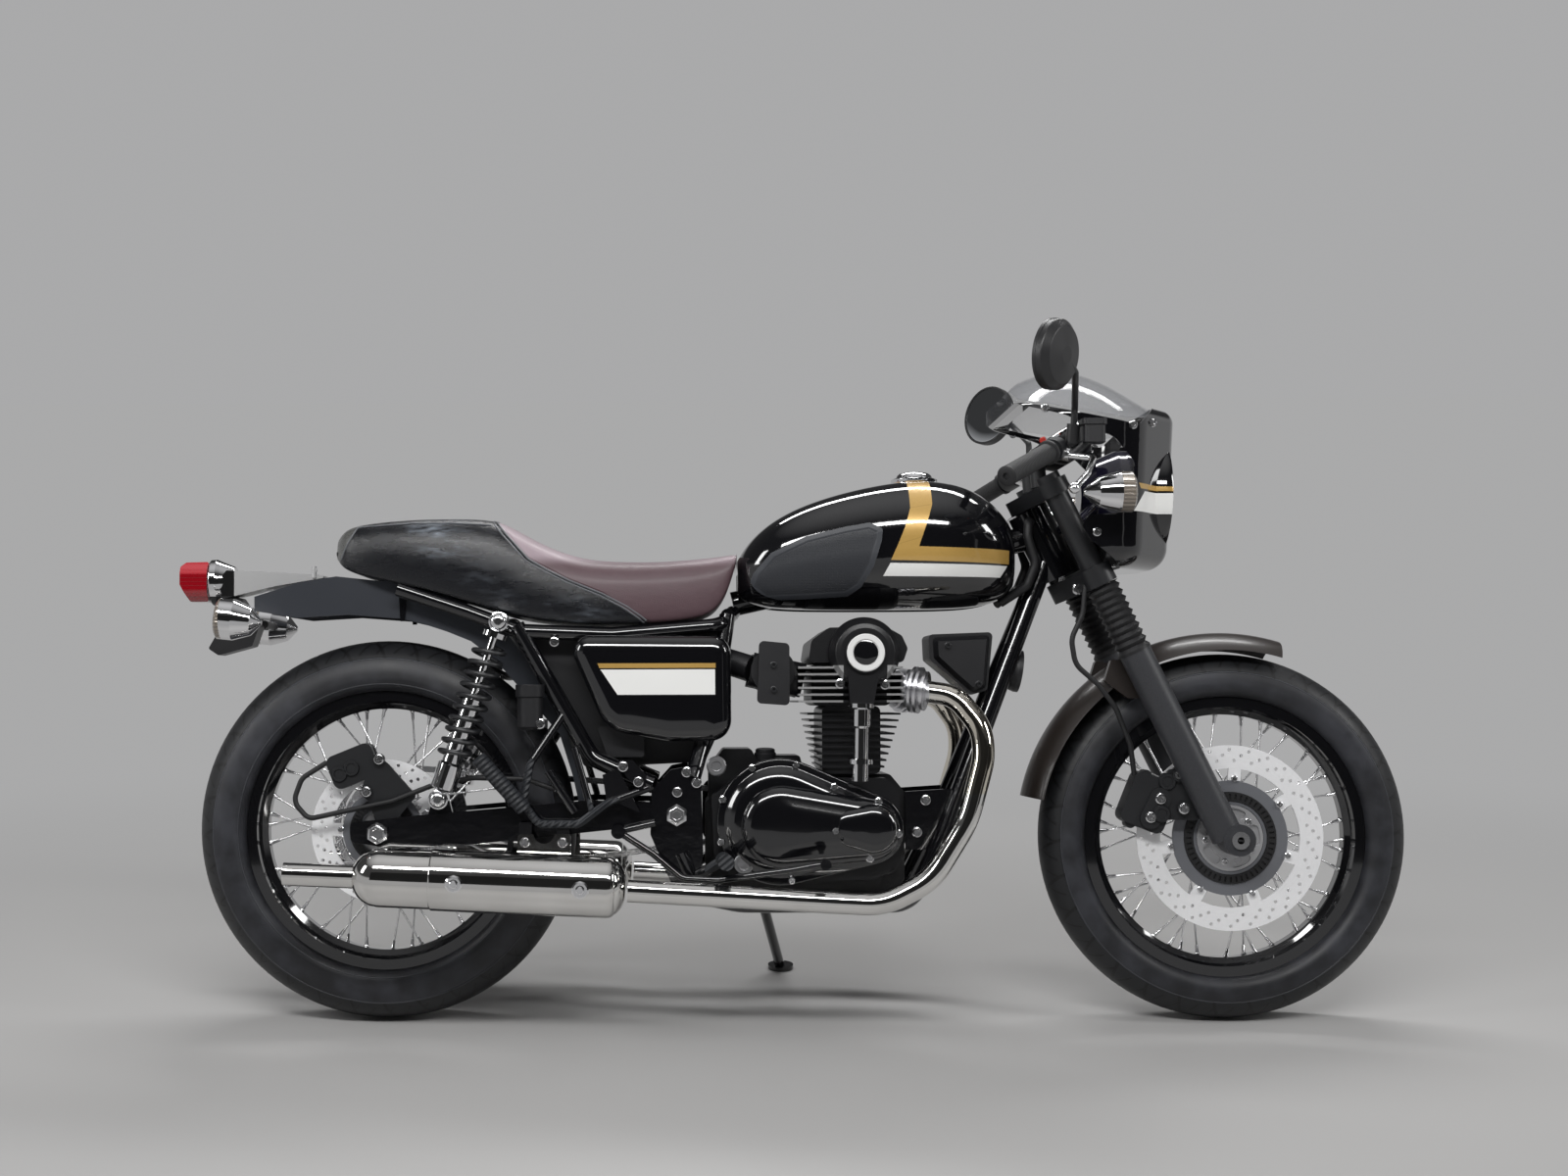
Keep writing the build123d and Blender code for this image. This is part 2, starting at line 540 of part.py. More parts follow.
# Footrests, pedals
rider_peg = rod((590, -150, 288), (593, -244, 291), 13.5) + rod((548, -134, 262), (590, -158, 288), 9)
passenger_peg = rod((252, -160, 376), (178, -187, 462), 13.5)
peg_loop = [(318, -112, 538), (262, -146, 452), (250, -152, 385), (276, -152, 349), (345, -150, 349),
            (392, -146, 384), (470, -136, 412)]
passenger_peg += bent_tube(peg_loop, 7, 22)
passenger_peg += rod((336, -130, 478), (368, -148, 368), 6)
passenger_peg += plate([(243, 352), (265, 352), (265, 308), (243, 308)], -146, -150)
passenger_peg += plate([(307, 352), (329, 352), (329, 308), (307, 308)], -146, -150)
heel_guard = plate([(385, 432), (412, 443), (449, 368), (391, 392)], -142, -146)
heel_guard += plate([(408, 457), (437, 457), (460, 430), (453, 402), (426, 428)], -134, -146, corner=3)
parts["footpegs"] = both_sides(rider_peg + heel_guard) + both_sides(passenger_peg) - parts["frame"]
fluid_tank = turned([(0, 16), (6, 22), (56, 22), (57, 25), (78, 25)], (260, -122, 508), (0, 0, 1), corner=1)
fluid_tank += plate([(262, 528), (290, 526), (290, 512), (262, 512)], -116, -120)
parts["rear_brake_tank"] = fluid_tank - parts["frame"]
pedal = bent_tube([(412, -150, 336), (470, -160, 300), (520, -166, 258), (581, -174, 256), (700, -196, 274),
                   (762, -206, 286)], 6, 30)
pedal += rod((758, -200, 286), (758, -235, 286), 9)
pedal += rod((412, -138, 336), (412, -158, 336), 12)
pedal += rod((412, -141, 336), (474, -141, 350), 6) + rod((292, -136, 437), (338, -140, 368), 8)
gear_lever = bent_tube([(600, 150, 262), (700, 205, 282), (760, 212, 290)], 6, 30)
gear_lever += rod((758, 200, 290), (758, 235, 290), 9) + rod((600, 126, 262), (600, 156, 262), 11)
parts["foot_controls"] = pedal + gear_lever

# Brake calipers, each straddling its disc


def caliper(centre, disc_side, inner_depth, outer_depth, length, height, gap, tilt):
    body = Box(length, inner_depth + outer_depth + gap, height)
    body = fillet(body.edges().filter_by(Axis.Y), 14)
    body = Pos(0, -(disc_side + (outer_depth - inner_depth) / 2), 0) * body
    slot = Pos(length / 2 - 18, -disc_side, 0) * Box(length, gap, height + 2)
    return Pos(centre[0], 0, centre[1]) * Rot(0, tilt, 0) * (body - slot)


front_caliper = caliper((1322, 381), front_disc_side, 14, 20, 78, 92, 15.5, 22)
caliper_bolts = ((1371, 428), (1379, 371))
front_caliper += plate([(1346, 352), (1352, 436), (1392, 446), (1412, 350)], -84, -93, corner=10)
front_caliper += [disc(bolt, 11, -92, -100) for bolt in caliper_bolts]
lobes = make_hull((Pos(1340, 388) * Circle(18)).edges() + (Pos(1323, 354) * Circle(18)).edges())
front_caliper += Plane(origin=(0, -92, 0), x_dir=(1, 0, 0), z_dir=(0, -1, 0)) * extrude(lobes, amount=5)
front_caliper += rod((1290, -60, 346), (1290, -88, 346), 9) + rod((1318, -60, 428), (1318, -88, 428), 9)
rear_caliper = caliper((-50, 446), rear_disc_side, 12, 16, 60, 84, 15.5, 68)
rear_caliper += plate([(-37, 398), (-19, 451), (-12, 470), (14, 448), (61, 395), (26, 352), (-10, 352),
                       (-22, 386)],
                      -88, -95, corner=6)
rear_caliper += disc((-3, 458), 10, -94, -101) + disc((-25, 402), 10, -94, -101)
parts["rear_caliper"] = rear_caliper
rear_hose_points = [(-96, -88, 452), (-138, -93, 425), (-152, -97, 385), (-125, -99, 355), (-60, -101, 369),
                    (20, -102, 386), (90, -102, 413), (160, -104, 426), (250, -109, 424), (313, -137, 404)]
rear_hose = bent_tube(rear_hose_points, 4.5, [25, 25, 20, 40, 60, 60, 60, 40])
parts["rear_brake_hose"] = rear_hose - rear_caliper - parts["foot_controls"]
regulator = plate([(950, 672), (1062, 676), (1052, 575), (1022, 566), (990, 596), (952, 628)], -52, 52,
                  corner=8)
regulator_face = plate([(956, 668), (1058, 672), (1050, 578), (1024, 570), (990, 600), (958, 630)], -50, -66,
                       corner=8,
                       taper=28)
parts["regulator_box"] = regulator + both_sides(regulator_face)
horn = turned([(0, 12), (8, 16), (12, 34), (22, 37), (29, 37), (30, 28)], (1087, -6, 612), (1, 0, -0.15))
parts["horn"] = horn - parts["frame"]

# Wiring sheath, from under the tank up beside the head tube
sheath_points = [(1080, -24, 728), (1122, -50, 756), (1138, -50, 795), (1124, -50, 842), (1126, -46, 866),
                 (1134, -22, 872)]
sheath = bent_tube(sheath_points, 8.0, [16, 30, 30, 10])
parts["wiring_sheath"] = both_sides(sheath) - parts["frame"] - parts["fuel_tank"]

# Steering: yokes, stem, fork legs, gaiters and axle
yokes = fork_frame * Pos(0, 0, head_low - 2 - 20) * Cylinder(15, head_high - head_low + 44,
                                                         align=(Align.CENTER, Align.CENTER, Align.MIN))
for height, thickness, clamp_radius in ((lower_yoke, 34.0, 29.0), (upper_yoke, 26.0, 28.0)):
    outline = Circle(22).edges()
    for side in (-1, 1):
        outline += (Pos(leg_offset, side * leg_spread) * Circle(clamp_radius)).edges()
    yokes += fork_frame * Pos(0, 0, height - thickness / 2) * extrude(make_hull(outline), amount=thickness)
for side in (-1, 1):
    leg_place = fork_frame * Pos(leg_offset, side * leg_spread, 0)
    yokes -= leg_place * Pos(0, 0, 900) * Cylinder(tube_radius, 400)
parts["fork_yokes"] = yokes
parts["frame"] = parts["frame"] - fork_frame * Pos(0, 0, 920) * Cylinder(16.5, 300)


def leg_solid(bottom, top, radius, bore=0.0):
    """Cylinder about both fork legs, between two heights up the fork."""
    shapes = []
    for side in (-1, 1):
        body = Cylinder(radius, top - bottom, align=(Align.CENTER, Align.CENTER, Align.MIN))
        if bore:
            body -= Cylinder(bore, top - bottom, align=(Align.CENTER, Align.CENTER, Align.MIN))
        shapes.append(fork_frame * Pos(leg_offset, side * leg_spread, bottom) * body)
    return Part() + shapes


parts["fork_tubes"] = leg_solid(gaiter_bottom, 1028, tube_radius)
sliders = leg_solid(axle_height_on_fork + 10, gaiter_bottom, slider_radius)
for side in (-1, 1):
    lug = rod((wheelbase, side * 80, front_radius), (wheelbase, side * 133, front_radius), 27)
    sliders += lug
    sliders -= rod((wheelbase, side * 70, front_radius), (wheelbase, side * 140, front_radius), 10)
parts["fork_sliders"] = sliders
parts["front_caliper"] = front_caliper - sliders
pleats = 10
pleat = (lower_yoke - 19 - gaiter_bottom) / pleats
gaiter_profile = [(tube_radius + 0.3, 0), (29, 0)]
for count in range(pleats):
    gaiter_profile += [(29, count * pleat + pleat * 0.35), (24, (count + 0.85) * pleat)]
gaiter_profile += [(29, pleats * pleat), (tube_radius + 0.3, pleats * pleat)]
gaiter = revolve(Plane.XZ * make_face(Polyline(*gaiter_profile, close=True)), axis=Axis.Z)
parts["fork_gaiters"] = Part() + [
    fork_frame * Pos(leg_offset, side * leg_spread, gaiter_bottom) * gaiter for side in (-1, 1)
]
front_spindle = disc(front_axle, 9.8, -138, 138)
front_spindle += disc(front_axle, 20, -77.3, -68) + disc(front_axle, 20, 77.3, 68)
front_spindle += both_sides(disc(front_axle, 15, -133.5, -138))
front_spindle -= disc(front_axle, 6, -140, 140)
parts["front_axle"] = front_spindle

# Front mudguard: a curved shell turned about the axle, with brackets to the sliders
guard_start = 73.0
guard_end = 168.5
guard_outer = [
    ThreePointArc((-62, 325), (0, 356), (62, 325)),
    Line((62, 325), (59, 325)),
    ThreePointArc((59, 325), (0, 353), (-59, 325)),
    Line((-59, 325), (-62, 325)),
]
guard_profile = Plane.YZ * make_face(Curve() + guard_outer)
guard_shell = revolve(guard_profile, axis=Axis.Y, revolution_arc=guard_end - guard_start)
guard_middle = (guard_start + guard_end) / 2
arc_box = guard_shell.center()
arc_angle = degrees(atan2(arc_box.Z, arc_box.X))
front_guard = Pos(wheelbase, 0, front_radius) * Rot(0, arc_angle - guard_middle, 0) * guard_shell
bracket = plate([(1250, 590), (1262, 628), (1330, 612), (1330, 560), (1290, 560)], -60, -77, corner=6)
parts["front_mudguard"] = front_guard + both_sides(bracket)

# Handlebar, grips, levers, mirrors
bar_half = [(1142, 90, 972), (1152, 180, 980), (1131, 235, 968), (1060, 328, 926)]
bar_points = [(x, -y, z) for x, y, z in reversed(bar_half)] + bar_half
handlebar = bent_tube(bar_points, 11, [30, 40, 40, 40, 40, 30])
for side in (-1, 1):
    handlebar += rod(fork_point(36, side * 42, upper_yoke + 13), (1142, side * 42, 974), 14)
    handlebar += rod((1147, side * 205, 977), (1133, side * 232, 969), 20)
parts["handlebar"] = handlebar - parts["fork_yokes"]
grip = rod((1131, -235, 968), (1043, -350, 916), 16.5)
parts["handgrips"] = both_sides(grip) - handlebar
lever = bent_tube([(1165, -212, 965), (1205, -228, 958), (1180, -300, 925), (1146, -365, 894)], 5.5,
                  [10, 60])
lever += Pos(1146, -365, 894) * Sphere(9)
lever += rod((1140, -196, 975), (1170, -214, 966), 13)
parts["hand_levers"] = both_sides(lever) - handlebar
reservoir = Pos(1205, -220, 1000) * extrude(RectangleRounded(36, 42, 8), amount=16, both=True)
reservoir += Pos(1205, -220, 1018) * extrude(RectangleRounded(41, 47, 9), amount=5, both=True)
reservoir += rod((1200, -218, 992), (1172, -212, 966), 8)
parts["brake_reservoir"] = reservoir - parts["hand_levers"]
mirror_back = turned([(0, 57), (14, 57), (24, 46), (29, 14)], (1114, -348, 1111), (0.75, -0.62, -0.15),
                     corner=3)
stalk = bent_tube([(1172, -218, 990), (1174, -226, 1040), (1158, -318, 1086), (1140, -350, 1100)], 5.5, 18)
stalk += rod((1171, -216, 984), (1173, -221, 1016), 11)
mirrors = both_sides(mirror_back + stalk) - parts["hand_levers"] - parts["handlebar"]
parts["mirrors"] = mirrors - parts["brake_reservoir"]
pod = turned([(0, 44), (8, 46), (36, 42), (52, 24)], (1185, -52, 1024), (0.5, 0, -0.86), corner=3)
instruments = both_sides(pod) + Pos(1200, 0, 998) * Rot(0, 30, 0) * Box(44, 60, 12)
parts["instruments"] = instruments

# Headlight, fairing and screen
headlight = turned([(0, 30), (22, 68), (60, 86), (118, 88), (132, 84), (138, 60)], (1222, 0, 912),
                   (1, 0, -0.03),
                   corner=6)
headlight += both_sides(rod((1250, -60, 905), (1200, -98, 860), 8))
parts["headlight"] = headlight - parts["fork_tubes"]
front_bullet = turned([(0, 6), (24, 25), (56, 34), (80, 34), (84, 28)], (1190, -213, 903), (1, 0, 0),
                      corner=2)
front_bullet += rod((1232, -213, 903), (1232, -84, 903), 7)
parts["front_indicators"] = both_sides(front_bullet)
fairing_front = 1382.0
fairing_half = 175.0
fairing_top = 1062.0
fairing_bottom = 782.0
fairing_wall = 3.5


def nose(inset):
    """Bowl of the fairing: its plan drawn down with a slight taper, rounded under and over."""
    front = fairing_front - inset
    half = fairing_half - inset
    plan = [(1040, -half), (front - 92, -half), (front, -52), (front, 52), (front - 92, half), (1040, half)]
    corners = [0, 82 - inset, 62 - inset, 62 - inset, 82 - inset, 0]
    level = make_face(FilletPolyline(*plan, radius=corners, close=True))
    height = fairing_top - fairing_bottom - 2 * inset
    bowl = extrude(Plane(origin=(0, 0, fairing_top - inset), z_dir=(0, 0, -1), x_dir=(1, 0, 0)) * level,
                   amount=height,
                   taper=3.2)
    bowl = fillet(bowl.faces().sort_by(Axis.Z)[0].edges().filter_by(lambda e: e.center().X > 1045),
                  40 - inset)
    return fillet(bowl.faces().sort_by(Axis.Z)[-1].edges().filter_by(lambda e: e.center().X > 1045),
                  24 - inset)


fairing = nose(0.0) - nose(fairing_wall)
fairing_side = [
    (1078, 1066), (1294, 1022), (1342, 1070), (1400, 1070), (1400, 776), (1276, 776), (1250, 798),
    (1214, 826),
    (1197, 852), (1208, 870), (1272, 874), (1292, 920), (1288, 960), (1250, 1001), (1170, 1038),
    (1100, 1056),
]
fairing_corners = [0, 12, 0, 0, 0, 0, 10, 10, 8, 8, 12, 12, 20, 20, 20, 0]
fairing &= plate(fairing_side, -200, 200, corner=fairing_corners)
fairing -= turned([(-40, 90), (220, 90)], (1222, 0, 912), (1, 0, -0.03))
fairing -= both_sides(rod((1232, -200, 903), (1232, -84, 903), 12))
parts["fairing"] = fairing

# Screen stations: x, half width at the foot, height of the foot, height of the crown
screen_sections = [
    (1076, 170, 1068, 1106), (1150, 171, 1056, 1131), (1215, 170, 1044, 1131), (1275, 158, 1036, 1106),
    (1318, 124, 1040, 1080), (1342, 84, 1052, 1066),
]
screen_thickness = 3.0
arches = []
for x, half_width, foot, crown in screen_sections:
    over = ThreePointArc((-half_width, foot), (0, crown), (half_width, foot))
    edge_right = Line((half_width, foot), (half_width - screen_thickness, foot))
    under = ThreePointArc((half_width - screen_thickness, foot), (0, crown - screen_thickness),
                          (screen_thickness - half_width, foot))
    edge_left = Line((screen_thickness - half_width, foot), (-half_width, foot))
    across = Plane(origin=(x, 0, 0), x_dir=(0, 1, 0), z_dir=(1, 0, 0))
    arches.append(across * make_face(Curve() + [over, edge_right, under, edge_left]))
screen = loft(arches)
screen_side = [(1096, 1040), (1080, 1086), (1106, 1110), (1150, 1142), (1400, 1142), (1400, 1020)]
parts["windscreen"] = screen & plate(screen_side, -200, 200, corner=5) - parts["fairing"]

hose_points = [(1213, -109, 765), (1207, -110, 704), (1187, -110, 662), (1194, -108, 618), (1234, -105, 583),
               (1264, -100, 544), (1290, -92, 480), (1298, -84, 428)]
hose = bent_tube(hose_points, 4.5, [60, 40, 40, 60, 60, 30])
parts["brake_hose"] = hose - parts["fork_yokes"] - parts["fork_tubes"] - parts["front_caliper"]

# Stand the bike on its side stand and put the origin under its middle
leaned = {name: Rot(-lean, 0, 0) * shape for name, shape in parts.items()}
box = Compound(children=[shape for shape in leaned.values()]).bounding_box()
shift = (-(box.min.X + box.max.X) / 2, -(box.min.Y + box.max.Y) / 2, -box.min.Z)
place = Pos(*shift) * Rot(-lean, 0, 0)
os.makedirs("parts", exist_ok=True)
for name, shape in parts.items():
    export_step(place * shape, f"parts/{name}.step")
print("shift", [round(value, 2) for value in shift], "size", box.size)
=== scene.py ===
"""Cafe racer motorcycle on its side stand: the finish of every piece, and the parts fitted last."""
import math

import bpy
from mathutils import Matrix, Vector
from mathutils.bvhtree import BVHTree


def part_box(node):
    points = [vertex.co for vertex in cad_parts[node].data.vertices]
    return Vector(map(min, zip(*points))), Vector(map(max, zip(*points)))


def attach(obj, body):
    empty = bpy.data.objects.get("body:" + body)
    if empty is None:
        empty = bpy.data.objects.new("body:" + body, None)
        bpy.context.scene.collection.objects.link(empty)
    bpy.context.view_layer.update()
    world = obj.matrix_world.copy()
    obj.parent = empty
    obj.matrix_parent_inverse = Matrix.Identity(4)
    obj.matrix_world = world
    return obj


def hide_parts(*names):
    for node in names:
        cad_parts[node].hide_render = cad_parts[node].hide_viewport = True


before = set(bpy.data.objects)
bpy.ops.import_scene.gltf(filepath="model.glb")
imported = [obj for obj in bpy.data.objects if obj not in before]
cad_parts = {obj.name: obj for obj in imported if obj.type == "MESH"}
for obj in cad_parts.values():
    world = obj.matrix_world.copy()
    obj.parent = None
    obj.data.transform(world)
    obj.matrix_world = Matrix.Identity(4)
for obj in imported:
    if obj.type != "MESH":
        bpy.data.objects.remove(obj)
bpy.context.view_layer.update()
scene = bpy.context.scene
scene.view_settings.view_transform = "Standard"

# How the machine stands
# The bike is described upright: x forward from the rear axle, y to the rider's left, z up.
# It then leans over to its left on the side stand, so one matrix carries every fitted piece
# into place, found from the middle of the front tyre.
LEAN = math.radians(10.0)
WHEELBASE = 1.465
FRONT_RADIUS = 0.3185
REAR_RADIUS = 0.3325
tyre_low, tyre_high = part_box("front_tyre")
lean_turn = Matrix.Rotation(-LEAN, 4, "X")
front_axle = Vector((WHEELBASE, 0, FRONT_RADIUS))
rear_axle = Vector((0, 0, REAR_RADIUS))
stand = Matrix.Translation((tyre_low + tyre_high) / 2 - lean_turn @ front_axle) @ lean_turn

# Camera
# Held at chest height on the right side of the bike, level with its engine and turned a little
# down. The shift only frames the bike as the photograph does.
CAMERA_PLACE = stand.to_translation() + Vector((0.53344, -3.42671, 1.17131))
CAMERA_YAW, CAMERA_PITCH, CAMERA_ROLL = (math.radians(a) for a in (-1.222, -8.478, -0.361))
FOCAL_SHARE = 2059.5 / 1600
camera_data = bpy.data.cameras.new("camera")
camera_data.sensor_width = 36
camera_data.lens = 36 * FOCAL_SHARE
camera_data.shift_x, camera_data.shift_y = 0.0875, 0.0375
camera = bpy.data.objects.new("camera", camera_data)
scene.collection.objects.link(camera)
ahead = Vector((math.sin(CAMERA_YAW), math.cos(CAMERA_YAW), 0))
look = ahead * math.cos(CAMERA_PITCH) + Vector((0, 0, math.sin(CAMERA_PITCH)))
level = Vector((math.cos(CAMERA_YAW), -math.sin(CAMERA_YAW), 0))
right = level * math.cos(CAMERA_ROLL) + level.cross(look) * math.sin(CAMERA_ROLL)
above = right.cross(look)
camera.matrix_world = Matrix.Translation(CAMERA_PLACE) @ Matrix((right, above, -look)).transposed().to_4x4()
scene.camera = camera


# Studio
# A plain pale floor that runs out of sight into a pale room, a long soft lamp over each side of the
# bike, and a shorter one ahead of it and behind it. Every finish is made as these two classes say.
class Shade:
    """A number that changes over a surface; plain arithmetic on it adds Math nodes."""

    def __init__(self, finish, socket):
        self.finish = finish
        self.socket = socket

    def math(self, operation, *others):
        return self.finish.node("Math", {"operation": operation}, dict(enumerate((self, *others))))

    def __add__(self, other):
        return self.math("ADD", other)

    def __sub__(self, other):
        return self.math("SUBTRACT", other)

    def __rsub__(self, other):
        return self.finish.node("Math", {"operation": "SUBTRACT"}, {0: other, 1: self})

    def __mul__(self, other):
        return self.math("MULTIPLY", other)

    def __gt__(self, other):
        return self.math("GREATER_THAN", other)

    def __lt__(self, other):
        return self.math("LESS_THAN", other)

    def __abs__(self):
        return self.math("ABSOLUTE")

    __radd__ = __add__
    __rmul__ = __mul__

    def far(self, other):
        """Distance from the origin of the point with these two coordinates."""
        return (self * self + other * other).math("SQRT")

    def either(self, other):
        """The larger of two numbers, or what lies under either of two masks."""
        return self.math("MAXIMUM", other)

    def waves(self, width):
        """A sine along this coordinate, with crests one width apart."""
        return (self * (math.tau / width)).math("SINE")

    def off_centre(self):
        """How far a number is from the middle of its own unit step, 0 to 0.5."""
        return abs(self.math("FRACT") - 0.5)

    def steps(self, low, high):
        """0 below low, 1 above high and smooth between them."""
        settings = {"interpolation_type": "SMOOTHSTEP"}
        return self.finish.node("MapRange", settings, {"Value": self, "From Min": low, "From Max": high})


class Finish:
    """One material. Its nodes come from node(), and its surface is set by name."""

    def __init__(self, name, colour=None, **sockets):
        self.material = bpy.data.materials.new(name)
        self.material.use_nodes = True
        self.tree = self.material.node_tree
        self.surface = self.tree.nodes["Principled BSDF"]
        if colour is not None:
            self.set(base_color=colour)
        self.set(**sockets)

    def node(self, kind, settings=None, inputs=None, out=0):
        made = self.tree.nodes.new("ShaderNode" + kind)
        for name, value in (settings or {}).items():
            setattr(made, name, value)
        for place, value in (inputs or {}).items():
            self.join(made.inputs[place], value)
        return Shade(self, made.outputs[out])

    def join(self, socket, value):
        if isinstance(value, Shade):
            self.tree.links.new(value.socket, socket)
        elif socket.type == "RGBA":
            socket.default_value = (*value, 1)
        else:
            socket.default_value = value

    def set(self, **sockets):
        for name, value in sockets.items():
            self.join(self.surface.inputs[name.replace("_", " ").title()], value)
        return self

    def place(self, centre=None):
        """Object coordinates stood upright, in metres from a point of the bike."""
        whole = self.node("TexCoord", out="Object")
        back = stand.inverted()
        moved = back.to_translation() - (Vector(centre) if centre is not None else Vector())
        return self.node("Mapping", inputs={"Vector": whole, "Location": moved, "Rotation": back.to_euler()})

    def axes(self, centre=None):
        split = self.node("SeparateXYZ", inputs={0: self.place(centre)})
        outputs = split.socket.node.outputs
        return [Shade(self, outputs[n]) for n in range(3)]

    def noise(self, scale, detail=3.0, stretch=None):
        where = self.place()
        if stretch:
            where = self.node("Mapping", inputs={"Vector": where, "Scale": stretch})
        return self.node("TexNoise", inputs={"Vector": where, "Scale": scale, "Detail": detail}, out="Fac")

    def mix(self, mask, low, high):
        return self.node("Mix", {"data_type": "RGBA"}, {0: mask, 6: low, 7: high}, out=2)

    def bump(self, height, distance, strength=1.0):
        normal = self.node("Bump", inputs={"Height": height, "Distance": distance, "Strength": strength})
        return self.set(normal=normal)

    def within(self, outline):
        """How far inside a convex outline of the side view, in metres.

        Its (x, z) corners run clockwise, in millimetres.
        """
        x, _, z = self.axes()
        depth = None
        for (x1, z1), (x2, z2) in zip(outline, outline[1:] + outline[:1]):
            run = math.hypot(x2 - x1, z2 - z1)
            across, up = (z2 - z1) / run, (x1 - x2) / run
            inside = x * across + z * up - (x1 * across + z1 * up) / 1000
            depth = inside if depth is None else depth.math("MINIMUM", inside)
        return depth


ROOM_GREY = (0.40, 0.40, 0.402)
bpy.ops.object.select_all(action="DESELECT")
bpy.ops.mesh.primitive_plane_add(size=80)
floor = bpy.context.object
floor.name = "floor"
floor_finish = Finish("floor_paint", (0.42, 0.415, 0.41), roughness=0.5)
floor_x, floor_y, _ = floor_finish.axes()
distance = ((floor_x - 0.7) * 0.6).far(floor_y)
floor_glow = floor_finish.node("Emission", inputs={"Color": ROOM_GREY})
floor_mix = floor_finish.node("MixShader", inputs={0: distance.steps(0.5, 2.3), 2: floor_glow})
floor_finish.tree.links.new(floor_finish.surface.outputs[0], floor_mix.socket.node.inputs[1])
floor_finish.tree.links.new(floor_mix.socket, floor_finish.tree.nodes["Material Output"].inputs["Surface"])
floor.data.materials.append(floor_finish.material)
# Dark cloths behind the camera and ahead of the bike, as photographers hang for black gloss
cloth_black = Finish("cloth_black", (0.02, 0.02, 0.02), roughness=0.9)
for name, place, turn, width in (
    ("side_cloth", (0.3, -4.7, 2.15), 0.0, 8.0), ("front_cloth", (5.6, -2.6, 2.0), 1.1, 4.4),
):
    bpy.ops.mesh.primitive_plane_add(size=1, location=place, rotation=(math.pi / 2, 0, turn))
    cloth = bpy.context.object
    cloth.name = name
    cloth.scale = (width, 2.9, 1.0)
    cloth.visible_camera = cloth.visible_diffuse = cloth.visible_shadow = False
    cloth.data.materials.append(cloth_black.material)
room = bpy.data.worlds.new("room")
scene.world = room
room.use_nodes = True
room_light = room.node_tree.nodes["Background"]
direction = room.node_tree.nodes.new("ShaderNodeTexCoord")
height = room.node_tree.nodes.new("ShaderNodeSeparateXYZ")
shades = room.node_tree.nodes.new("ShaderNodeValToRGB")
for count, (place, grey) in enumerate(((0.0, 0.40), (0.17, 0.40), (0.26, 0.05), (0.75, 0.05), (1.0, 0.60))):
    stop = shades.color_ramp.elements[count] if count < 2 else shades.color_ramp.elements.new(place)
    stop.position = place
    stop.color = (grey, grey, grey * 1.01, 1)
room.node_tree.links.new(direction.outputs["Generated"], height.inputs[0])
room.node_tree.links.new(height.outputs["Z"], shades.inputs["Fac"])
room.node_tree.links.new(shades.outputs["Color"], room_light.inputs["Color"])
# Lamps: name, place, what they point at, length and width, watts
for name, place, aim, size, power in (
    ("near_lamp", (-0.3, -1.9, 2.5), (0.0, 0.0, 0.5), (3.0, 0.30), 60),
    ("far_lamp", (0.3, 1.3, 2.7), (0.0, 0.0, 0.6), (3.0, 0.30), 50),
    ("front_lamp", (3.4, -1.1, 2.3), (0.6, 0.0, 0.6), (0.6, 1.4), 34),
    ("rear_lamp", (-3.4, -1.1, 2.1), (-0.6, 0.0, 0.6), (0.6, 1.4), 30),
):
    lamp_data = bpy.data.lights.new(name, "AREA")
    lamp_data.shape = "RECTANGLE"
    lamp_data.size, lamp_data.size_y = size
    lamp_data.energy = power
    lamp = bpy.data.objects.new(name, lamp_data)
    scene.collection.objects.link(lamp)
    lamp.location = place
    lamp.rotation_euler = (Vector(aim) - Vector(place)).to_track_quat("-Z", "Y").to_euler()


# Tyres
# Moulded black rubber. Slanting grooves run in from each shoulder of the tread, a raised line
# parts it from the dusty side wall, and the walls carry no words.
def dress(finish, *names):
    """Gives a finish to pieces of the frame model, whatever slots they came with."""
    for name in names:
        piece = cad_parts[name]
        piece.data.materials.clear()
        piece.data.materials.append(finish.material)
    return finish


def tyre_rubber(name, axle, radius, blocks):
    finish = Finish(name)
    x, y, z = finish.axes(axle)
    reach = x.far(z)
    turn = z.math("ARCTAN2", x) * (blocks / math.tau)
    off = abs(y)
    first = (turn + off * 9.0).off_centre()
    second = (turn * 2.0 - off * 26.0 + 0.31).off_centre()
    tread = reach > radius - 0.031
    grooves = (first < 0.050) * (off > 0.008) * tread
    grooves = grooves.either((second < 0.070) * (reach > radius - 0.024) * (off > 0.022))
    edge_ring = 1.0 - abs(reach - (radius - 0.0315)).steps(0.0006, 0.0016)
    rim_ring = 1.0 - abs(reach - (radius - 0.077)).steps(0.0006, 0.0016)
    dust = finish.noise(26.0, 6.0)
    cloud = finish.noise(7.0, 4.0)
    dusty = (dust * 0.6 + cloud * 0.6).steps(0.45, 0.85)
    wall = finish.mix(dusty, (0.008, 0.0083, 0.0105), (0.030, 0.0315, 0.039))
    face = finish.mix(tread, wall, (0.0085, 0.009, 0.0105))
    face = finish.mix((edge_ring + rim_ring) * 0.6, face, (0.050, 0.053, 0.062))
    finish.set(base_color=finish.mix(grooves, face, (0.0015, 0.0015, 0.002)))
    finish.set(roughness=dust * 0.25 + 0.38)
    return finish.bump(edge_ring * 0.4 + rim_ring * 0.4 - grooves + dust * 0.08, 0.003)


dress(tyre_rubber("front_rubber", front_axle, FRONT_RADIUS, 30), "front_tyre")
dress(tyre_rubber("rear_rubber", rear_axle, REAR_RADIUS, 32), "rear_tyre")


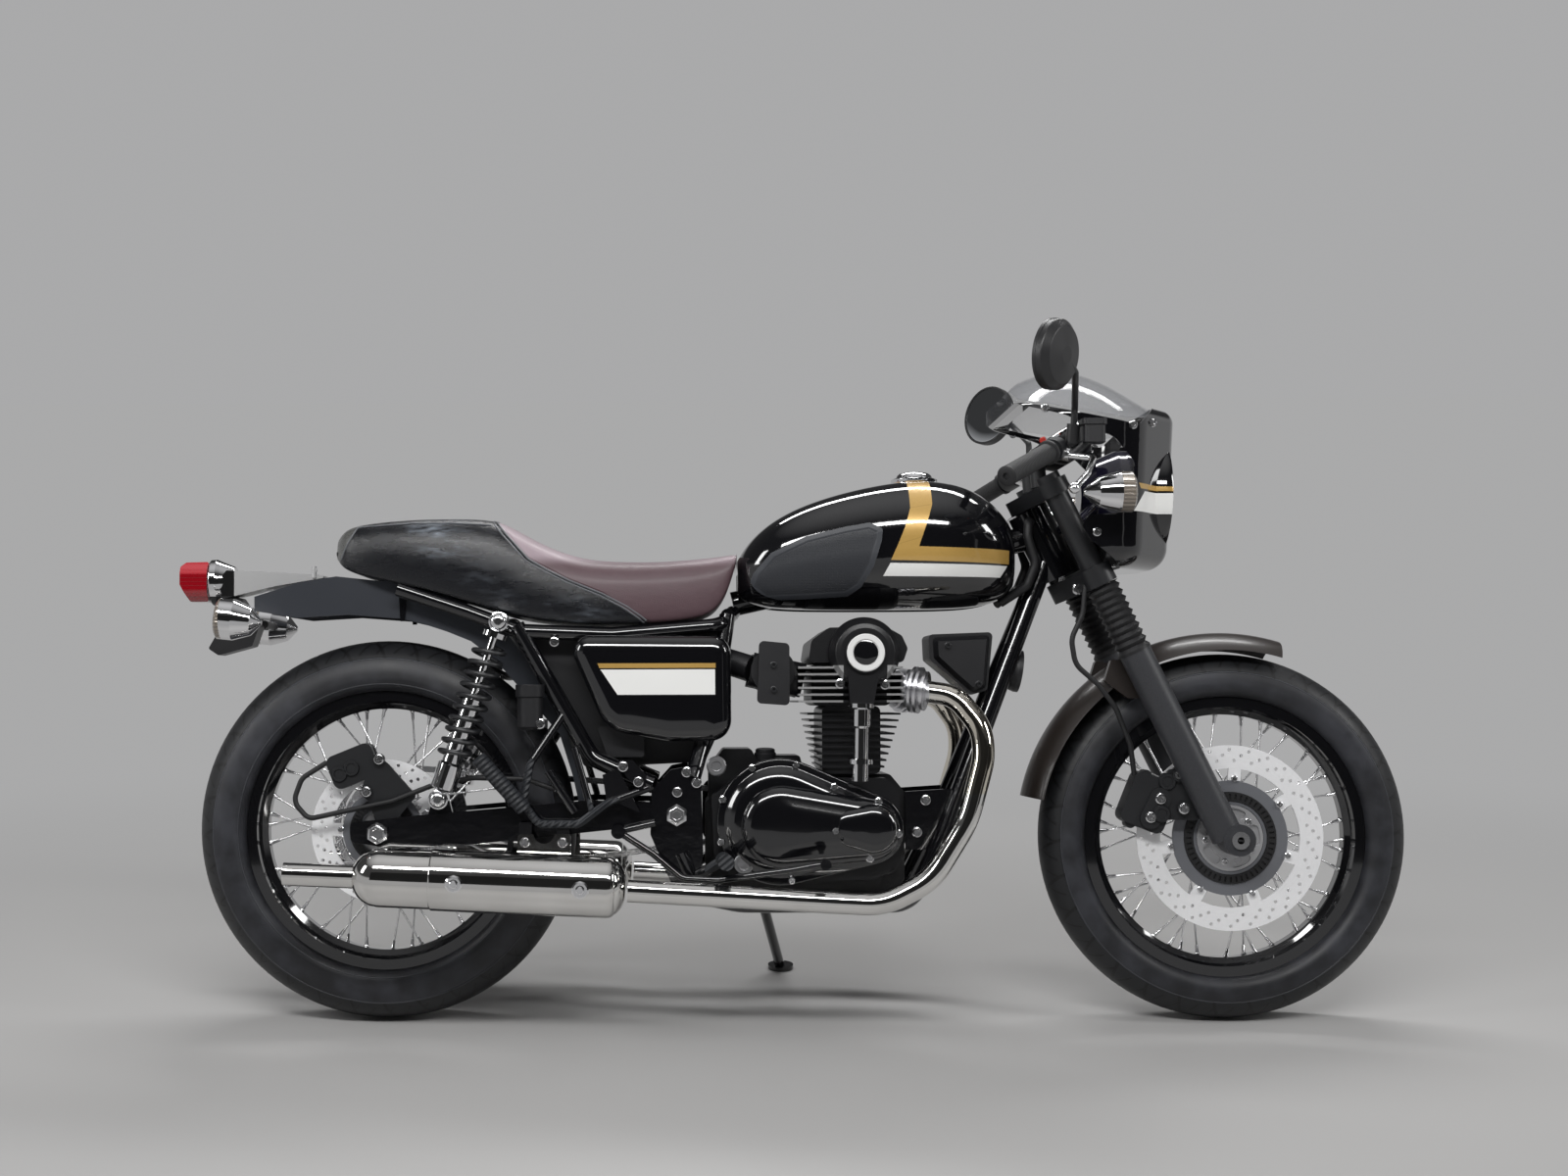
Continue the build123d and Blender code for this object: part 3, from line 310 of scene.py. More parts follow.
# Rims, hubs and spokes
# Rims are enamelled gloss black and the hub shells are bare cast alloy. Bright wire spokes cross
# over from the hub's two flanges and screw into plated nipples in the rim.
def painted(name, colour, roughness, coat=0.0, speckle=0.15, grain=None):
    """Paint or moulding with a slight change of gloss over it, and a fine grain if it has one."""
    finish = Finish(name, colour, coat_weight=coat, coat_roughness=0.03)
    finish.set(roughness=finish.noise(9.0) * speckle + (roughness - speckle / 2))
    if grain:
        size, depth = grain
        finish.bump(finish.noise(1 / size, 2.0), depth)
    return finish


gloss_black = painted("gloss_black", (0.005, 0.005, 0.006), 0.06, coat=1.0, speckle=0.03)
dress(gloss_black, "front_rim", "rear_rim")


def hub_and_spokes(name, axle, shell):
    """Cast hub inside the flange radius, bright wire outside it."""
    finish = Finish(name)
    x, _, z = finish.axes(axle)
    wire = x.far(z).steps(shell - 0.001, shell + 0.001)
    finish.set(base_color=finish.mix(wire, (0.50, 0.50, 0.51), (0.82, 0.82, 0.83)))
    finish.set(metallic=wire * 0.15 + 0.6, roughness=finish.noise(40.0) * 0.15 + 0.22 - wire * 0.06)
    return finish


dress(hub_and_spokes("front_hub_metal", front_axle, 0.0745), "front_hub")
dress(hub_and_spokes("rear_hub_metal", rear_axle, 0.0600), "rear_hub")


def polished(name, colour, roughness, ripple=0.0003):
    """Bright metal with faint waves and wipe marks."""
    finish = Finish(name, colour, metallic=1.0)
    finish.set(roughness=finish.noise(14.0) * 0.06 + (roughness - 0.02))
    finish.bump(finish.noise(22.0, 1.0), ripple, 0.4)
    return finish


bright_steel = polished("bright_steel", (0.70, 0.70, 0.71), 0.18)


def clear():
    """Nothing stays selected, so that a tool works only on what it is given next."""
    bpy.ops.object.select_all(action="DESELECT")


def turn_up(stations, sides=24, smooth=40):
    """A round part drawn up from a disc as on a lathe: stations are (height, radius) in millimetres."""
    clear()
    height, radius = stations[0]
    bpy.ops.mesh.primitive_circle_add(vertices=sides, radius=radius / 1000, fill_type="NGON")
    part = bpy.context.object
    part.data.transform(Matrix.Translation((0, 0, height / 1000)))
    bpy.ops.object.mode_set(mode="EDIT")
    bpy.ops.mesh.select_all(action="SELECT")
    for next_height, next_radius in stations[1:]:
        rise = (next_height - height) / 1000
        bpy.ops.mesh.extrude_region_move(TRANSFORM_OT_translate={"value": (0, 0, rise)})
        share = next_radius / radius
        bpy.ops.transform.resize(value=(share, share, 1), center_override=(0, 0, next_height / 1000))
        height, radius = next_height, next_radius
    bpy.ops.mesh.select_all(action="SELECT")
    bpy.ops.mesh.normals_make_consistent(inside=False)
    bpy.ops.object.mode_set(mode="OBJECT")
    bpy.ops.object.shade_smooth_by_angle(angle=math.radians(smooth))
    return part


def facing(point, out):
    """Where a part modelled on z goes: its foot, in millimetres of the bike, and the way it faces."""
    way = Vector(out).to_track_quat("Z", "Y").to_matrix().to_4x4()
    return Matrix.Translation(Vector(point) / 1000) @ way


def fit(part, name, finish, body, place=Matrix()):
    """Names a modelled part, moves its mesh to its place on the bike and fixes it to a body."""
    part.name = part.data.name = name
    part.data.transform(stand @ place)
    part.data.materials.clear()
    part.data.materials.append(finish.material)
    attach(part, body)
    return part


def fit_each(part, name, finish, body, places):
    """Fits one copy of a modelled part at each place and joins them to one piece."""
    copies = []
    for place in places:
        copy = part.copy()
        copy.data = part.data.copy()
        copy.data.transform(place)
        scene.collection.objects.link(copy)
        copies.append(copy)
    bpy.data.objects.remove(part)
    clear()
    for copy in copies:
        copy.select_set(True)
    bpy.context.view_layer.objects.active = copies[0]
    if len(copies) > 1:
        bpy.ops.object.join()
    return fit(copies[0], name, finish, body)


# Lacing: wheel, axle, flange radius, and for both flanges their y and the turn of the first spoke
SPOKES = 20
RIM_BORE = 212.0
CROSSING = math.radians(52.0)
for wheel, axle, flange_radius, flanges in (
    ("front", front_axle, 52.0, ((-37.0, 0.0), (37.0, 9.0))),
    ("rear", rear_axle, 53.0, ((-43.0, 0.0), (43.0, 9.0))),
):
    nipple = turn_up([(-1, 4.6), (1.5, 4.6), (3, 3.3), (15, 2.7), (16, 2.0)], sides=8)
    seats = []
    for flange_y, phase in flanges:
        for count in range(SPOKES):
            way = 1 if count % 2 else -1
            hub_angle = math.radians(phase + count * 360.0 / SPOKES)
            rim_angle = hub_angle + CROSSING * way
            inner = flange_radius * Vector((math.cos(hub_angle), 0, math.sin(hub_angle)))
            outer = RIM_BORE * Vector((math.cos(rim_angle), 0, math.sin(rim_angle)))
            inner.y = flange_y + way * 2.2
            outer.y = math.copysign(4.0, flange_y)
            seats.append(facing(axle * 1000 + outer, inner - outer))
    fit_each(nipple, wheel + "_spoke_nipples", bright_steel, wheel + "_wheel", seats)


# Brake discs
# A ground steel band on a grey anodised carrier, with the black slotted ring of the speed sensor.
def disc_metal(name, axle, carrier, sensor, bore):
    finish = Finish(name, metallic=0.25)
    x, _, z = finish.axes(axle)
    reach = x.far(z)
    turn = z.math("ARCTAN2", x)
    rings = finish.node("CombineXYZ", inputs={"X": reach * 420.0, "Y": turn * 1.6})
    ground = finish.node("TexNoise", inputs={"Vector": rings, "Scale": 3.0, "Detail": 3.0}, out="Fac")
    steel = finish.mix(ground, (0.84, 0.84, 0.85), (0.95, 0.95, 0.96))
    with_carrier = finish.mix(reach < carrier, steel, (0.16, 0.165, 0.18))
    with_ring = finish.mix((reach < sensor) * (reach > bore), with_carrier, (0.02, 0.02, 0.021))
    finish.set(base_color=with_ring, roughness=ground * 0.12 + 0.34)
    return finish.bump(ground, 0.00015)


dress(disc_metal("front_disc_metal", front_axle, 0.0995, 0.0795, 0.063), "front_disc")
dress(disc_metal("rear_disc_metal", rear_axle, 0.0705, 0.0585, 0.042), "rear_disc")


def socket_screw(r):
    """Round head with a hexagon socket, drawn up in one go."""
    return turn_up([(-2, r * 1.25), (0.2, r * 1.25), (0.8, r), (r * 0.85, r), (r, r * 0.88), (r, r * 0.52),
                    (r * 0.45, r * 0.46)], sides=18)


def screws(name, radius, body, places):
    """Plated socket screws of one size, as one piece."""
    fit_each(socket_screw(radius), name, bright_steel, body, places)


RIGHT = (0, -1, 0)
LEFT = (0, 1, 0)


def around(axle, count, radius, first, y):
    """Places in a ring about an axle, facing the bike's right."""
    angles = [math.radians(first + n * 360 / count) for n in range(count)]
    middle = Vector((axle.x * 1000, y, axle.z * 1000))
    return [facing(middle + radius * Vector((math.cos(a), 0, math.sin(a))), RIGHT) for a in angles]


screws("front_disc_buttons", 4.6, "front_wheel", around(front_axle, 7, 103.0, 34.0, -68.0))
screws("rear_disc_buttons", 4.6, "rear_wheel", around(rear_axle, 5, 74.0, 34.0, -71.0))
screws("front_hub_screws", 5.0, "front_wheel", around(front_axle, 5, 42.0, 42.0, -67.0))

# Frame, fork and stand
# Steel tube and pressings in gloss black paint; the fork castings are a satin grained black.
frame_black = painted("frame_black", (0.004, 0.004, 0.005), 0.13, coat=0.8, speckle=0.06,
                      grain=(0.02, 0.0003))
satin_black = painted("satin_black", (0.010, 0.0105, 0.012), 0.42, grain=(0.0012, 0.00008))
fork_black = painted("fork_black", (0.014, 0.0145, 0.016), 0.40, grain=(0.0010, 0.00010))
dress(frame_black, "frame", "swingarm", "side_stand", "foot_controls")
dress(satin_black, "handlebar", "front_caliper", "rear_caliper", "fork_yokes")
dress(fork_black, "fork_tubes")
slider_paint = Finish("slider_paint", roughness=0.45)
slider_grain = slider_paint.noise(620.0, 3.0)
slider_paint.set(base_color=slider_paint.mix(slider_grain, (0.010, 0.010, 0.012), (0.050, 0.052, 0.058)))
slider_paint.bump(slider_grain, 0.00025)
dress(slider_paint, "fork_sliders")
soft_rubber = painted("soft_rubber", (0.008, 0.008, 0.009), 0.55, grain=(0.0015, 0.0001))
dress(soft_rubber, "fork_gaiters", "brake_hose", "rear_brake_hose", "wiring_sheath")
moulded_black = painted("moulded_black", (0.008, 0.008, 0.0095), 0.46, grain=(0.0008, 0.0001))
dress(moulded_black, "airbox", "throttle_bodies", "regulator_box", "horn", "instruments", "mirrors",
      "brake_reservoir", "rear_brake_tank")
dress(bright_steel, "front_axle", "rear_axle", "rear_sprocket", "drive_chain")

surfaces = {}


def probe(mesh):
    """A mesh made ready for finding where a line meets it."""
    return BVHTree.FromPolygons([v.co for v in mesh.vertices], [f.vertices for f in mesh.polygons])


def sit(node, x, z, side=-1, sunk=0.0):
    """Where a part sits on a piece that is met from the side at x and z, in millimetres."""
    if node not in surfaces:
        surfaces[node] = probe(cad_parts[node].data)
    start = stand @ Vector((x / 1000, side * 0.6, z / 1000))
    met = surfaces[node].ray_cast(start, stand.to_3x3() @ Vector((0, -side, 0)))[0]
    if met is None:
        raise ValueError(f"{node} isn't met at {x}, {z}")
    point = stand.inverted() @ met * 1000
    point.y -= side * sunk
    return facing(point, (0, side, 0))


# Screws and nuts on the running gear, by where each one sits
screws("frame_screws", 7.0, "frame", [
    sit("frame", 528, 436), sit("frame", 545, 418), sit("frame", 512, 402), sit("frame", 548, 250),
    sit("silencers", 254, 318), sit("silencers", 318, 318), sit("footpegs", 420, 446),
    sit("footpegs", 446, 420), sit("frame", 940, 385), sit("frame", 925, 330),
    sit("rear_caliper", -3, 458), sit("rear_caliper", -25, 402), sit("rear_brake_tank", 278, 519)])
screws("fork_screws", 7.5, "steering", [
    sit("fork_yokes", 1189, 769, sunk=2), sit("fork_yokes", 1203, 748, sunk=2),
    sit("front_caliper", 1371, 428), sit("front_caliper", 1379, 371),
    sit("front_caliper", 1340, 388), sit("front_caliper", 1323, 356)])


def both_sides(x, y, z):
    """The same place on the right and on the left of the bike, each facing out."""
    return [facing((x, -y, z), RIGHT), facing((x, y, z), LEFT)]


domed_nut = turn_up([(-2, 17), (1, 17), (2, 14.5), (7, 14), (11, 10.5), (12, 6.5), (9, 6.0)], sides=28)
fit_each(domed_nut, "shock_nuts", bright_steel, "frame",
         both_sides(209, 154, 693) + both_sides(106, 154, 391))
axle_nut = turn_up([(-2, 19), (2, 19), (3, 15), (12, 15), (13, 13), (13, 9), (10, 8)], sides=6, smooth=20)
fit_each(axle_nut, "axle_nuts", bright_steel, "frame",
         both_sides(0, 138, 332.5) + both_sides(511, 133, 363))
piston_cap = turn_up([(-6, 14), (3, 14), (5, 12.5), (5, 9), (3.4, 8.4), (3.4, 3)], sides=28)
fit_each(piston_cap, "rear_caliper_caps", satin_black, "frame",
         [sit("rear_caliper", x, z, sunk=1) for x, z in ((-73, 432), (-52, 442))])
piston_cap = turn_up([(-6, 15), (4, 15), (6, 13.5), (6, 9), (4.4, 8.4), (4.4, 3)], sides=28)
fit_each(piston_cap, "front_caliper_caps", satin_black, "steering",
         [sit("front_caliper", x, z, sunk=1) for x, z in ((1352, 417), (1341, 362))])

# Shock absorbers
# Two oil dampers bolted between the swingarm and the seat rails, with chromed bodies and spring
# seats, and a coil of black painted steel round each.
chrome = polished("chrome", (0.78, 0.78, 0.79), 0.05)
dress(chrome, "shock_absorbers")
dress(satin_black, "shock_springs")

# Mudguards
# The front one is a steel pressing in satin brown-black paint, stayed to the fork. The rear one is
# a dark slate moulding that carries the tail lamp.
brown_black = painted("brown_black", (0.020, 0.0155, 0.0135), 0.36, coat=0.15)
dress(brown_black, "front_mudguard")
slate = painted("slate", (0.026, 0.029, 0.036), 0.36)
dress(slate, "rear_mudguard")


# Engine
# Cast cases and cylinders painted black, the edges of the head's fins machined bright, gloss black
# covers held by plated socket screws, and a chromed tube round the cam drive.
def fin_paint(name, fin_edge):
    """Black casting paint with bright machined fin ends."""
    finish = Finish(name)
    x, y, z = finish.axes()
    machined = (abs(y) > fin_edge) * (z < 0.617) * (abs(x - 0.831) > 0.037)
    grain = finish.noise(700.0, 2.0)
    finish.set(base_color=finish.mix(machined, (0.005, 0.005, 0.006), (0.62, 0.62, 0.62)))
    finish.set(metallic=machined * 0.9, roughness=grain * 0.15 + 0.28)
    return finish.bump(grain, 0.00008)


engine_black = painted("engine_black", (0.005, 0.005, 0.006), 0.32, grain=(0.0015, 0.0001))
dress(engine_black, "crankcase", "cylinder_block")
dress(fin_paint("head_paint", 0.1446), "cylinder_head")
dress(chrome, "cam_drive_tube")
screws("head_screws", 6.5, "frame", [facing((x, -146, z), RIGHT) for x, z in ((789, 586), (865, 584))])
boss_ring = turn_up([(-3, 32), (1.0, 32), (2.4, 30.5), (2.4, 23), (0.6, 21.5), (0.4, 14)], sides=48)
ring_white = painted("ring_white", (0.72, 0.72, 0.71), 0.25, coat=0.4)
boss_place = facing((831, -168, 638), RIGHT)
fit(boss_ring, "cam_cover_ring", ring_white, "frame", boss_place)
boss_disc = turn_up([(-2, 20.8), (1.4, 20.8), (2.6, 17), (3.4, 9), (3.6, 2)], sides=48)
fit(boss_disc, "cam_cover_plug", gloss_black, "frame", boss_place)


# Engine covers
# Die cast alloy in gloss black. The right one is a wide screwed flange that rises to a domed cover
# round the clutch, with a bulge over the crank's end; the left ones are a round cover and a plate.
def rounded_outline(circles):
    """Outline drawn clockwise round circles (x, z, radius): its points and the way out at each."""
    normals = []
    for (x1, z1, r1), (x2, z2, r2) in zip(circles, circles[1:] + circles[:1]):
        run = math.dist((x1, z1), (x2, z2))
        ahead = ((x2 - x1) / run, (z2 - z1) / run)
        lean = (r1 - r2) / run
        across = math.sqrt(1 - lean * lean)
        normals.append(math.atan2(ahead[1] * lean + ahead[0] * across, ahead[0] * lean - ahead[1] * across))
    outline = []
    for count, (x, z, radius) in enumerate(circles):
        first, last = normals[count - 1], normals[count]
        turn = (first - last) % math.tau
        steps = max(2, round(math.degrees(turn) / 7))
        for n in range(steps + 1):
            angle = first - turn * n / steps
            way = (math.cos(angle), math.sin(angle))
            outline.append((x + radius * way[0], z + radius * way[1], *way))
    return outline


def skinned(name, rows):
    """A part drawn over rings of points, in millimetres, and closed at both ends."""
    size = len(rows[0])
    points = [Vector(point) / 1000 for row in rows for point in row]
    faces = []
    for start in range(0, len(points) - size, size):
        for here in range(size):
            there = (here + 1) % size
            faces.append((start + here, start + there, start + size + there, start + size + here))
    faces += [tuple(range(size)), tuple(range(len(points) - size, len(points)))]
    mesh = bpy.data.meshes.new(name)
    mesh.from_pydata(points, [], faces)
    part = bpy.data.objects.new(name, mesh)
    scene.collection.objects.link(part)
    clear()
    part.select_set(True)
    bpy.context.view_layer.objects.active = part
    bpy.ops.object.mode_set(mode="EDIT")
    bpy.ops.mesh.select_all(action="SELECT")
    bpy.ops.mesh.remove_doubles(threshold=0.00001)
    bpy.ops.mesh.normals_make_consistent(inside=False)
    bpy.ops.object.mode_set(mode="OBJECT")
    return part


def domed(circles, base, side, rings, crown):
    """A cover drawn up from an outline: rings of (height, inset), then crown rings of (height, share)."""
    outline = rounded_outline(circles)
    middle_x = sum(point[0] for point in outline) / len(outline)
    middle_z = sum(point[1] for point in outline) / len(outline)
    rows = [[(x - out_x * inset, side * (base + rise), z - out_z * inset) for x, z, out_x, out_z in outline]
            for rise, inset in rings]
    for rise, share in crown:
        rows.append([(middle_x + (x - middle_x) * share, side * (base + rise),
                      middle_z + (z - middle_z) * share) for x, _, z in rows[len(rings) - 1]])
    part = skinned("cover", rows)
    bpy.ops.object.shade_smooth_by_angle(angle=math.radians(50))
    return part


def together(parts):
    clear()
    for part in parts:
        part.select_set(True)
    bpy.context.view_layer.objects.active = parts[0]
    bpy.ops.object.join()
    return parts[0]


DOME_CROWN = [(46.0, 0.82), (48.0, 0.62), (49.4, 0.38), (50.0, 0.15)]
DOME_TURNS = [math.radians(9 * n) for n in range(10)]
DOME = [(8, 0)] + [(20 + 23 * math.sin(a), 30 * (1 - math.cos(a))) for a in DOME_TURNS]
FLANGE = [(0, 0), (9, 0), (11.2, 0.8), (12, 2.5), (12.4, 12), (13.2, 14), (18, 19), (23, 26), (25.5, 34),
          (26.5, 44)]
FLANGE_CROWN = [(26.5, 0.5), (26.5, 0.1)]
BULGE = [(20, 0), (34, 0.4), (42, 3), (47.5, 8), (50.5, 14), (52.3, 21)]
BULGE_CROWN = [(53.2, 0.6), (53.6, 0.2)]
right_cover = together([
    domed([(687, 351, 108), (837, 338, 60)], 125, -1, FLANGE, FLANGE_CROWN),
    domed([(690, 344, 71), (838, 338, 52)], 125, -1, DOME, DOME_CROWN),
    domed([(806, 341, 36), (843, 339, 45)], 125, -1, BULGE, BULGE_CROWN),
    domed([(825, 347, 72), (825.5, 347, 72)], 125, 1, DOME, [(43.4, 0.7), (43.6, 0.3)]),
    domed([(697, 404, 21), (749, 389, 21), (749, 341, 21), (690, 317, 21), (577, 321, 21), (577, 394, 21)],
          125, 1, [(0, 0), (17, 0), (20, 1), (21, 4)], [(21.5, 0.7), (21.6, 0.2)]),
])
cover_gloss = painted("cover_gloss", (0.004, 0.004, 0.005), 0.13, coat=1.0, speckle=0.05)
fit(right_cover, "engine_cover_castings", cover_gloss, "frame")
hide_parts("engine_covers")
surfaces["engine_cover_castings"] = probe(right_cover.data)
screws("cover_screws", 5.6, "frame", [sit("engine_cover_castings", x, z, sunk=1) for x, z in (
    (640, 442), (714, 447), (590, 389), (587, 317), (778, 410), (852, 386), (884, 333), (837, 291),
    (706, 252), (778, 338))])
cast_grey = painted("cast_grey", (0.40, 0.40, 0.41), 0.32, grain=(0.0012, 0.0001))
cast_grey.set(metallic=0.9)
sight = turn_up([(-12, 17), (2, 17), (3.5, 15.5), (3.5, 12.5), (1.5, 11.8), (2.5, 6)], sides=32)
fit(sight, "oil_sight_window", cast_grey, "frame", facing((625, -139, 281), RIGHT))
bush = turn_up([(-8, 17), (2, 17), (4, 15), (4, 9), (1, 8)], sides=32)
fit(bush, "case_bush", cast_grey, "frame", facing((579, -122, 446), RIGHT))
filler = turn_up([(-14, 19), (4, 19), (6, 17), (10, 17), (12, 15)], sides=12)
fit(filler, "oil_filler_cap", moulded_black, "frame", facing((665, -50, 462), (0, -0.1, 1)))
fit_each(socket_screw(5.0), "black_screws", satin_black, "frame",
         [sit("throttle_bodies", 677, 618), sit("throttle_bodies", 677, 576), sit("regulator_box", 982, 652),
          sit("regulator_box", 1035, 585)])

# Exhaust
# Chromed pipes and silencers, straw tinted where they leave the head. A heat shield is strapped
# over each silencer with two clamps.
pipe_chrome = Finish("pipe_chrome", metallic=1.0)
chrome_waves = pipe_chrome.noise(12.0, 2.0)
pipe_chrome.set(base_color=pipe_chrome.mix(chrome_waves, (0.66, 0.65, 0.63), (0.80, 0.79, 0.77)))
pipe_chrome.set(roughness=pipe_chrome.noise(60.0, 4.0) * 0.06 + 0.035)
pipe_chrome.bump(pipe_chrome.noise(18.0, 1.0), 0.0006, 0.4)
dress(pipe_chrome, "silencers")
pipe_finish = Finish("pipe_and_collar")
pipe_x, _, pipe_z = pipe_finish.axes()
on_collar = (pipe_x < 0.941) * (pipe_z > 0.50)
warm = pipe_x.steps(0.90, 1.03) * (pipe_z > 0.40)
pipe_waves = pipe_finish.noise(12.0, 2.0)
clean_pipe = pipe_finish.mix(pipe_waves, (0.68, 0.67, 0.65), (0.82, 0.81, 0.79))
bare_pipe = pipe_finish.mix(warm * 0.55, clean_pipe, (0.74, 0.66, 0.50))
pipe_finish.set(base_color=pipe_finish.mix(on_collar, bare_pipe, (0.66, 0.66, 0.68)))
pipe_finish.set(metallic=1.0, roughness=on_collar * 0.25 + pipe_finish.noise(60.0, 4.0) * 0.05 + 0.035)
pipe_finish.bump(pipe_finish.noise(18.0, 1.0), 0.0003, 0.4)
dress(pipe_finish, "exhaust_pipes")
SILENCER_RUN = (-455, 0, 19)
LONG = 455.4
SIDES = (("right", -1), ("left", 1))
for side, way in SIDES:
    silencer_place = facing((424, way * 195, 245), SILENCER_RUN)
    muffler = turn_up([(-1, 20.8), (2, 29), (6, 36.5), (12, 43), (19, 47.4), (28, 49.6), (LONG - 44, 49.6),
                       (LONG - 30, 47.6), (LONG - 18, 42.2), (LONG - 9, 34.6), (LONG - 3, 26), (LONG, 20.6)],
                      sides=72, smooth=60)
    fit(muffler, side + "_silencer_shell", pipe_chrome, "frame", silencer_place)
    shield = turn_up([(16, 46), (19, 48.8), (24, 50.8), (30, 51.6), (322, 51.6), (324.4, 51.0), (325, 49.0)],
                     sides=72, smooth=60)
    fit(shield, side + "_heat_shield", pipe_chrome, "frame", silencer_place)
    clamp = turn_up([(-3, 15), (1, 15), (3, 12), (3, 8), (9, 7), (10, 5.5)], sides=10, smooth=25)
    fit_each(clamp, side + "_silencer_clamps", chrome, "frame",
             [sit("silencers", 352, 246, way, sunk=-2.6), sit("silencers", 143, 256, way, sunk=-2.6)])

# Bodywork
# Tank, side covers and fairing in deep gloss black. A golden band runs along the top of the tank,
# over its shoulder and forward in an L, with a white band under it; both return on the covers.
GOLD = (0.52, 0.32, 0.085)
WHITE = (0.80, 0.80, 0.78)
EDGE = 0.0004


def striped(name, gold_outlines, white_outline, extra_gold=None):
    """Gloss black with bands laid under the lacquer."""
    finish = Finish(name, coat_weight=1.0, coat_roughness=0.02)
    flake = finish.noise(900.0, 1.0)
    gold_paint = finish.mix(flake, [0.8 * shade for shade in GOLD], [1.15 * shade for shade in GOLD])
    gold, *more = [finish.within(outline).steps(-EDGE, EDGE) for outline in gold_outlines]
    for mask in more:
        gold = gold.either(mask)
    if extra_gold:
        gold = gold.either(extra_gold(finish))
    white = finish.within(white_outline).steps(-EDGE, EDGE)
    black = (0.004, 0.004, 0.005)
    finish.set(base_color=finish.mix(white, finish.mix(gold, black, gold_paint), WHITE))
    finish.set(metallic=gold * 0.25, roughness=gold * 0.25 + white * 0.25 + 0.08)
    finish.bump(finish.noise(60.0, 1.0), 0.00002)
    return finish


def tank_top_band(finish):
    """The band down the middle of the tank, and the bars that leave it for both shoulders."""
    x, y, z = finish.axes()
    middle = (abs(y) < 0.030) * (x < 0.930) * (z > 0.790)
    over = (x > 0.912) * (x < 0.951) * (z > 0.9205)
    return middle.either(over)


tank_paint = striped(
    "tank_paint",
    [[(912, 945), (951, 945), (950, 893), (912, 887)], [(912, 887), (950, 893), (941, 864), (902, 853)],
     [(902, 853), (941, 864), (931, 836), (890, 824)], [(890, 824), (931, 836), (925, 818), (878, 797)],
     [(878, 797), (890, 820), (925, 820), (1086, 815), (1085, 791)]],
    [(877, 792), (1082, 788), (1069, 768), (865, 770)],
    tank_top_band)
dress(tank_paint, "fuel_tank")
cover_paint = striped("cover_paint", [[(377, 621.5), (578, 621.5), (578, 613.5), (380, 613.5)]],
                      [(382, 611), (577, 611), (577, 568), (411, 568)])
COVER_CIRCLES = [(363, 641, 29), (573, 637, 31), (569, 525, 36), (500, 531, 43), (434, 562, 62)]
COVER_RINGS = [(0, 0), (16, 0), (22, 1.6), (27, 4.6), (31, 9), (34, 15), (35.6, 21), (36.4, 27)]
COVER_CROWN = [(37.2, 0.75), (37.8, 0.45), (38.0, 0.15)]
covers = together([domed(COVER_CIRCLES, 110, side, COVER_RINGS, COVER_CROWN) for side in (-1, 1)])
fit(covers, "side_cover_shells", cover_paint, "frame")
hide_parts("side_covers")
fairing_paint = striped("fairing_paint", [[(1296, 925), (1420, 922), (1420, 915), (1300, 916)]],
                        [(1309, 912), (1420, 912), (1420, 876), (1286, 877)])
dress(fairing_paint, "fairing")
nose = turn_up([(-40, 98), (14, 101), (22, 101), (26, 99), (27, 96), (24, 92), (10, 90.5)], sides=64)
fit(nose, "fairing_nose", fairing_paint, "steering",
    facing((1340, 0, 912), (1, 0, -0.03)))
# The bowl's gloss black is tinted blue: a painted bluish reflection of the lamps on it
bowl = painted("lamp_bowl_paint_and_reflection", (0.012, 0.011, 0.026), 0.12, coat=1.0)
dress(bowl, "headlight")
cap = turn_up([(-4, 39), (2, 41), (5, 41), (7, 38), (8, 33), (12, 31), (16, 27), (18, 20), (18.4, 8)],
              sides=48)
fit(cap, "tank_cap", chrome, "frame", facing((932, 0, 942), (0, 0, 1)))
pad_finish = Finish("pad_rubber", roughness=0.5)
pad_x, _, pad_z = pad_finish.axes()
pad_depth = pad_finish.within([
    (633, 750), (644, 779), (674, 813), (733, 840), (800, 856), (842, 863), (866, 852), (864, 830),
    (851, 787), (830, 749), (806, 733), (733, 729), (664, 727)])
PAD_GRID = 220.0
ribs_across = (pad_x * PAD_GRID).off_centre() < 0.16
ribs_along = (pad_z * PAD_GRID).off_centre() < 0.16
grid = ribs_across.either(ribs_along) * (pad_depth > 0.015)
pad_rim = pad_depth.steps(0.009, 0.013)
pad_finish.set(base_color=pad_finish.mix(pad_rim, (0.034, 0.037, 0.044), (0.021, 0.023, 0.028)))
pad_finish.bump(grid * -1.0 - pad_rim, 0.0007)
dress(pad_finish, "knee_pads")
screws("cover_bolts", 6.5, "frame", both_sides(302, 126, 659))

# Seat
# Foam on a moulded base under sewn vinyl: black with scuffs and a painted pale highlight over the hump
# and the flanks, mauve with a painted highlight along its top where the rider sits, a grey panel
# behind, and piping along every seam.
SEAT_SECTIONS = (  # along, half width, bottom, top, how square the sides are
    (-85, 50, 808, 844, 0.0),
    (-72, 82, 792, 858, 0.2),
    (-52, 98, 781, 867, 0.8),
    (0, 112, 767, 873, 1.0),
    (60, 124, 755, 877, 1.0),
    (120, 128, 738, 877.5, 1.0),
    (165, 130, 724, 877, 1.0),
    (203, 130, 712, 873, 0.9),
    (232, 128, 704, 858, 0.7),
    (268, 125, 698, 838, 0.4),
    (305, 122, 694, 821, 0.2),
    (350, 119, 691, 808, 0.0),
    (400, 115, 690, 802.5, 0.0),
    (480, 107, 692, 802, 0.0),
    (540, 98, 699, 806.5, 0.0),
    (575, 92, 709, 810, 0.0),
    (596, 87, 738, 812.5, 0.0),
    (607, 82, 768, 813.5, 0.0),
    (616, 74, 800, 813, 0.0),
)
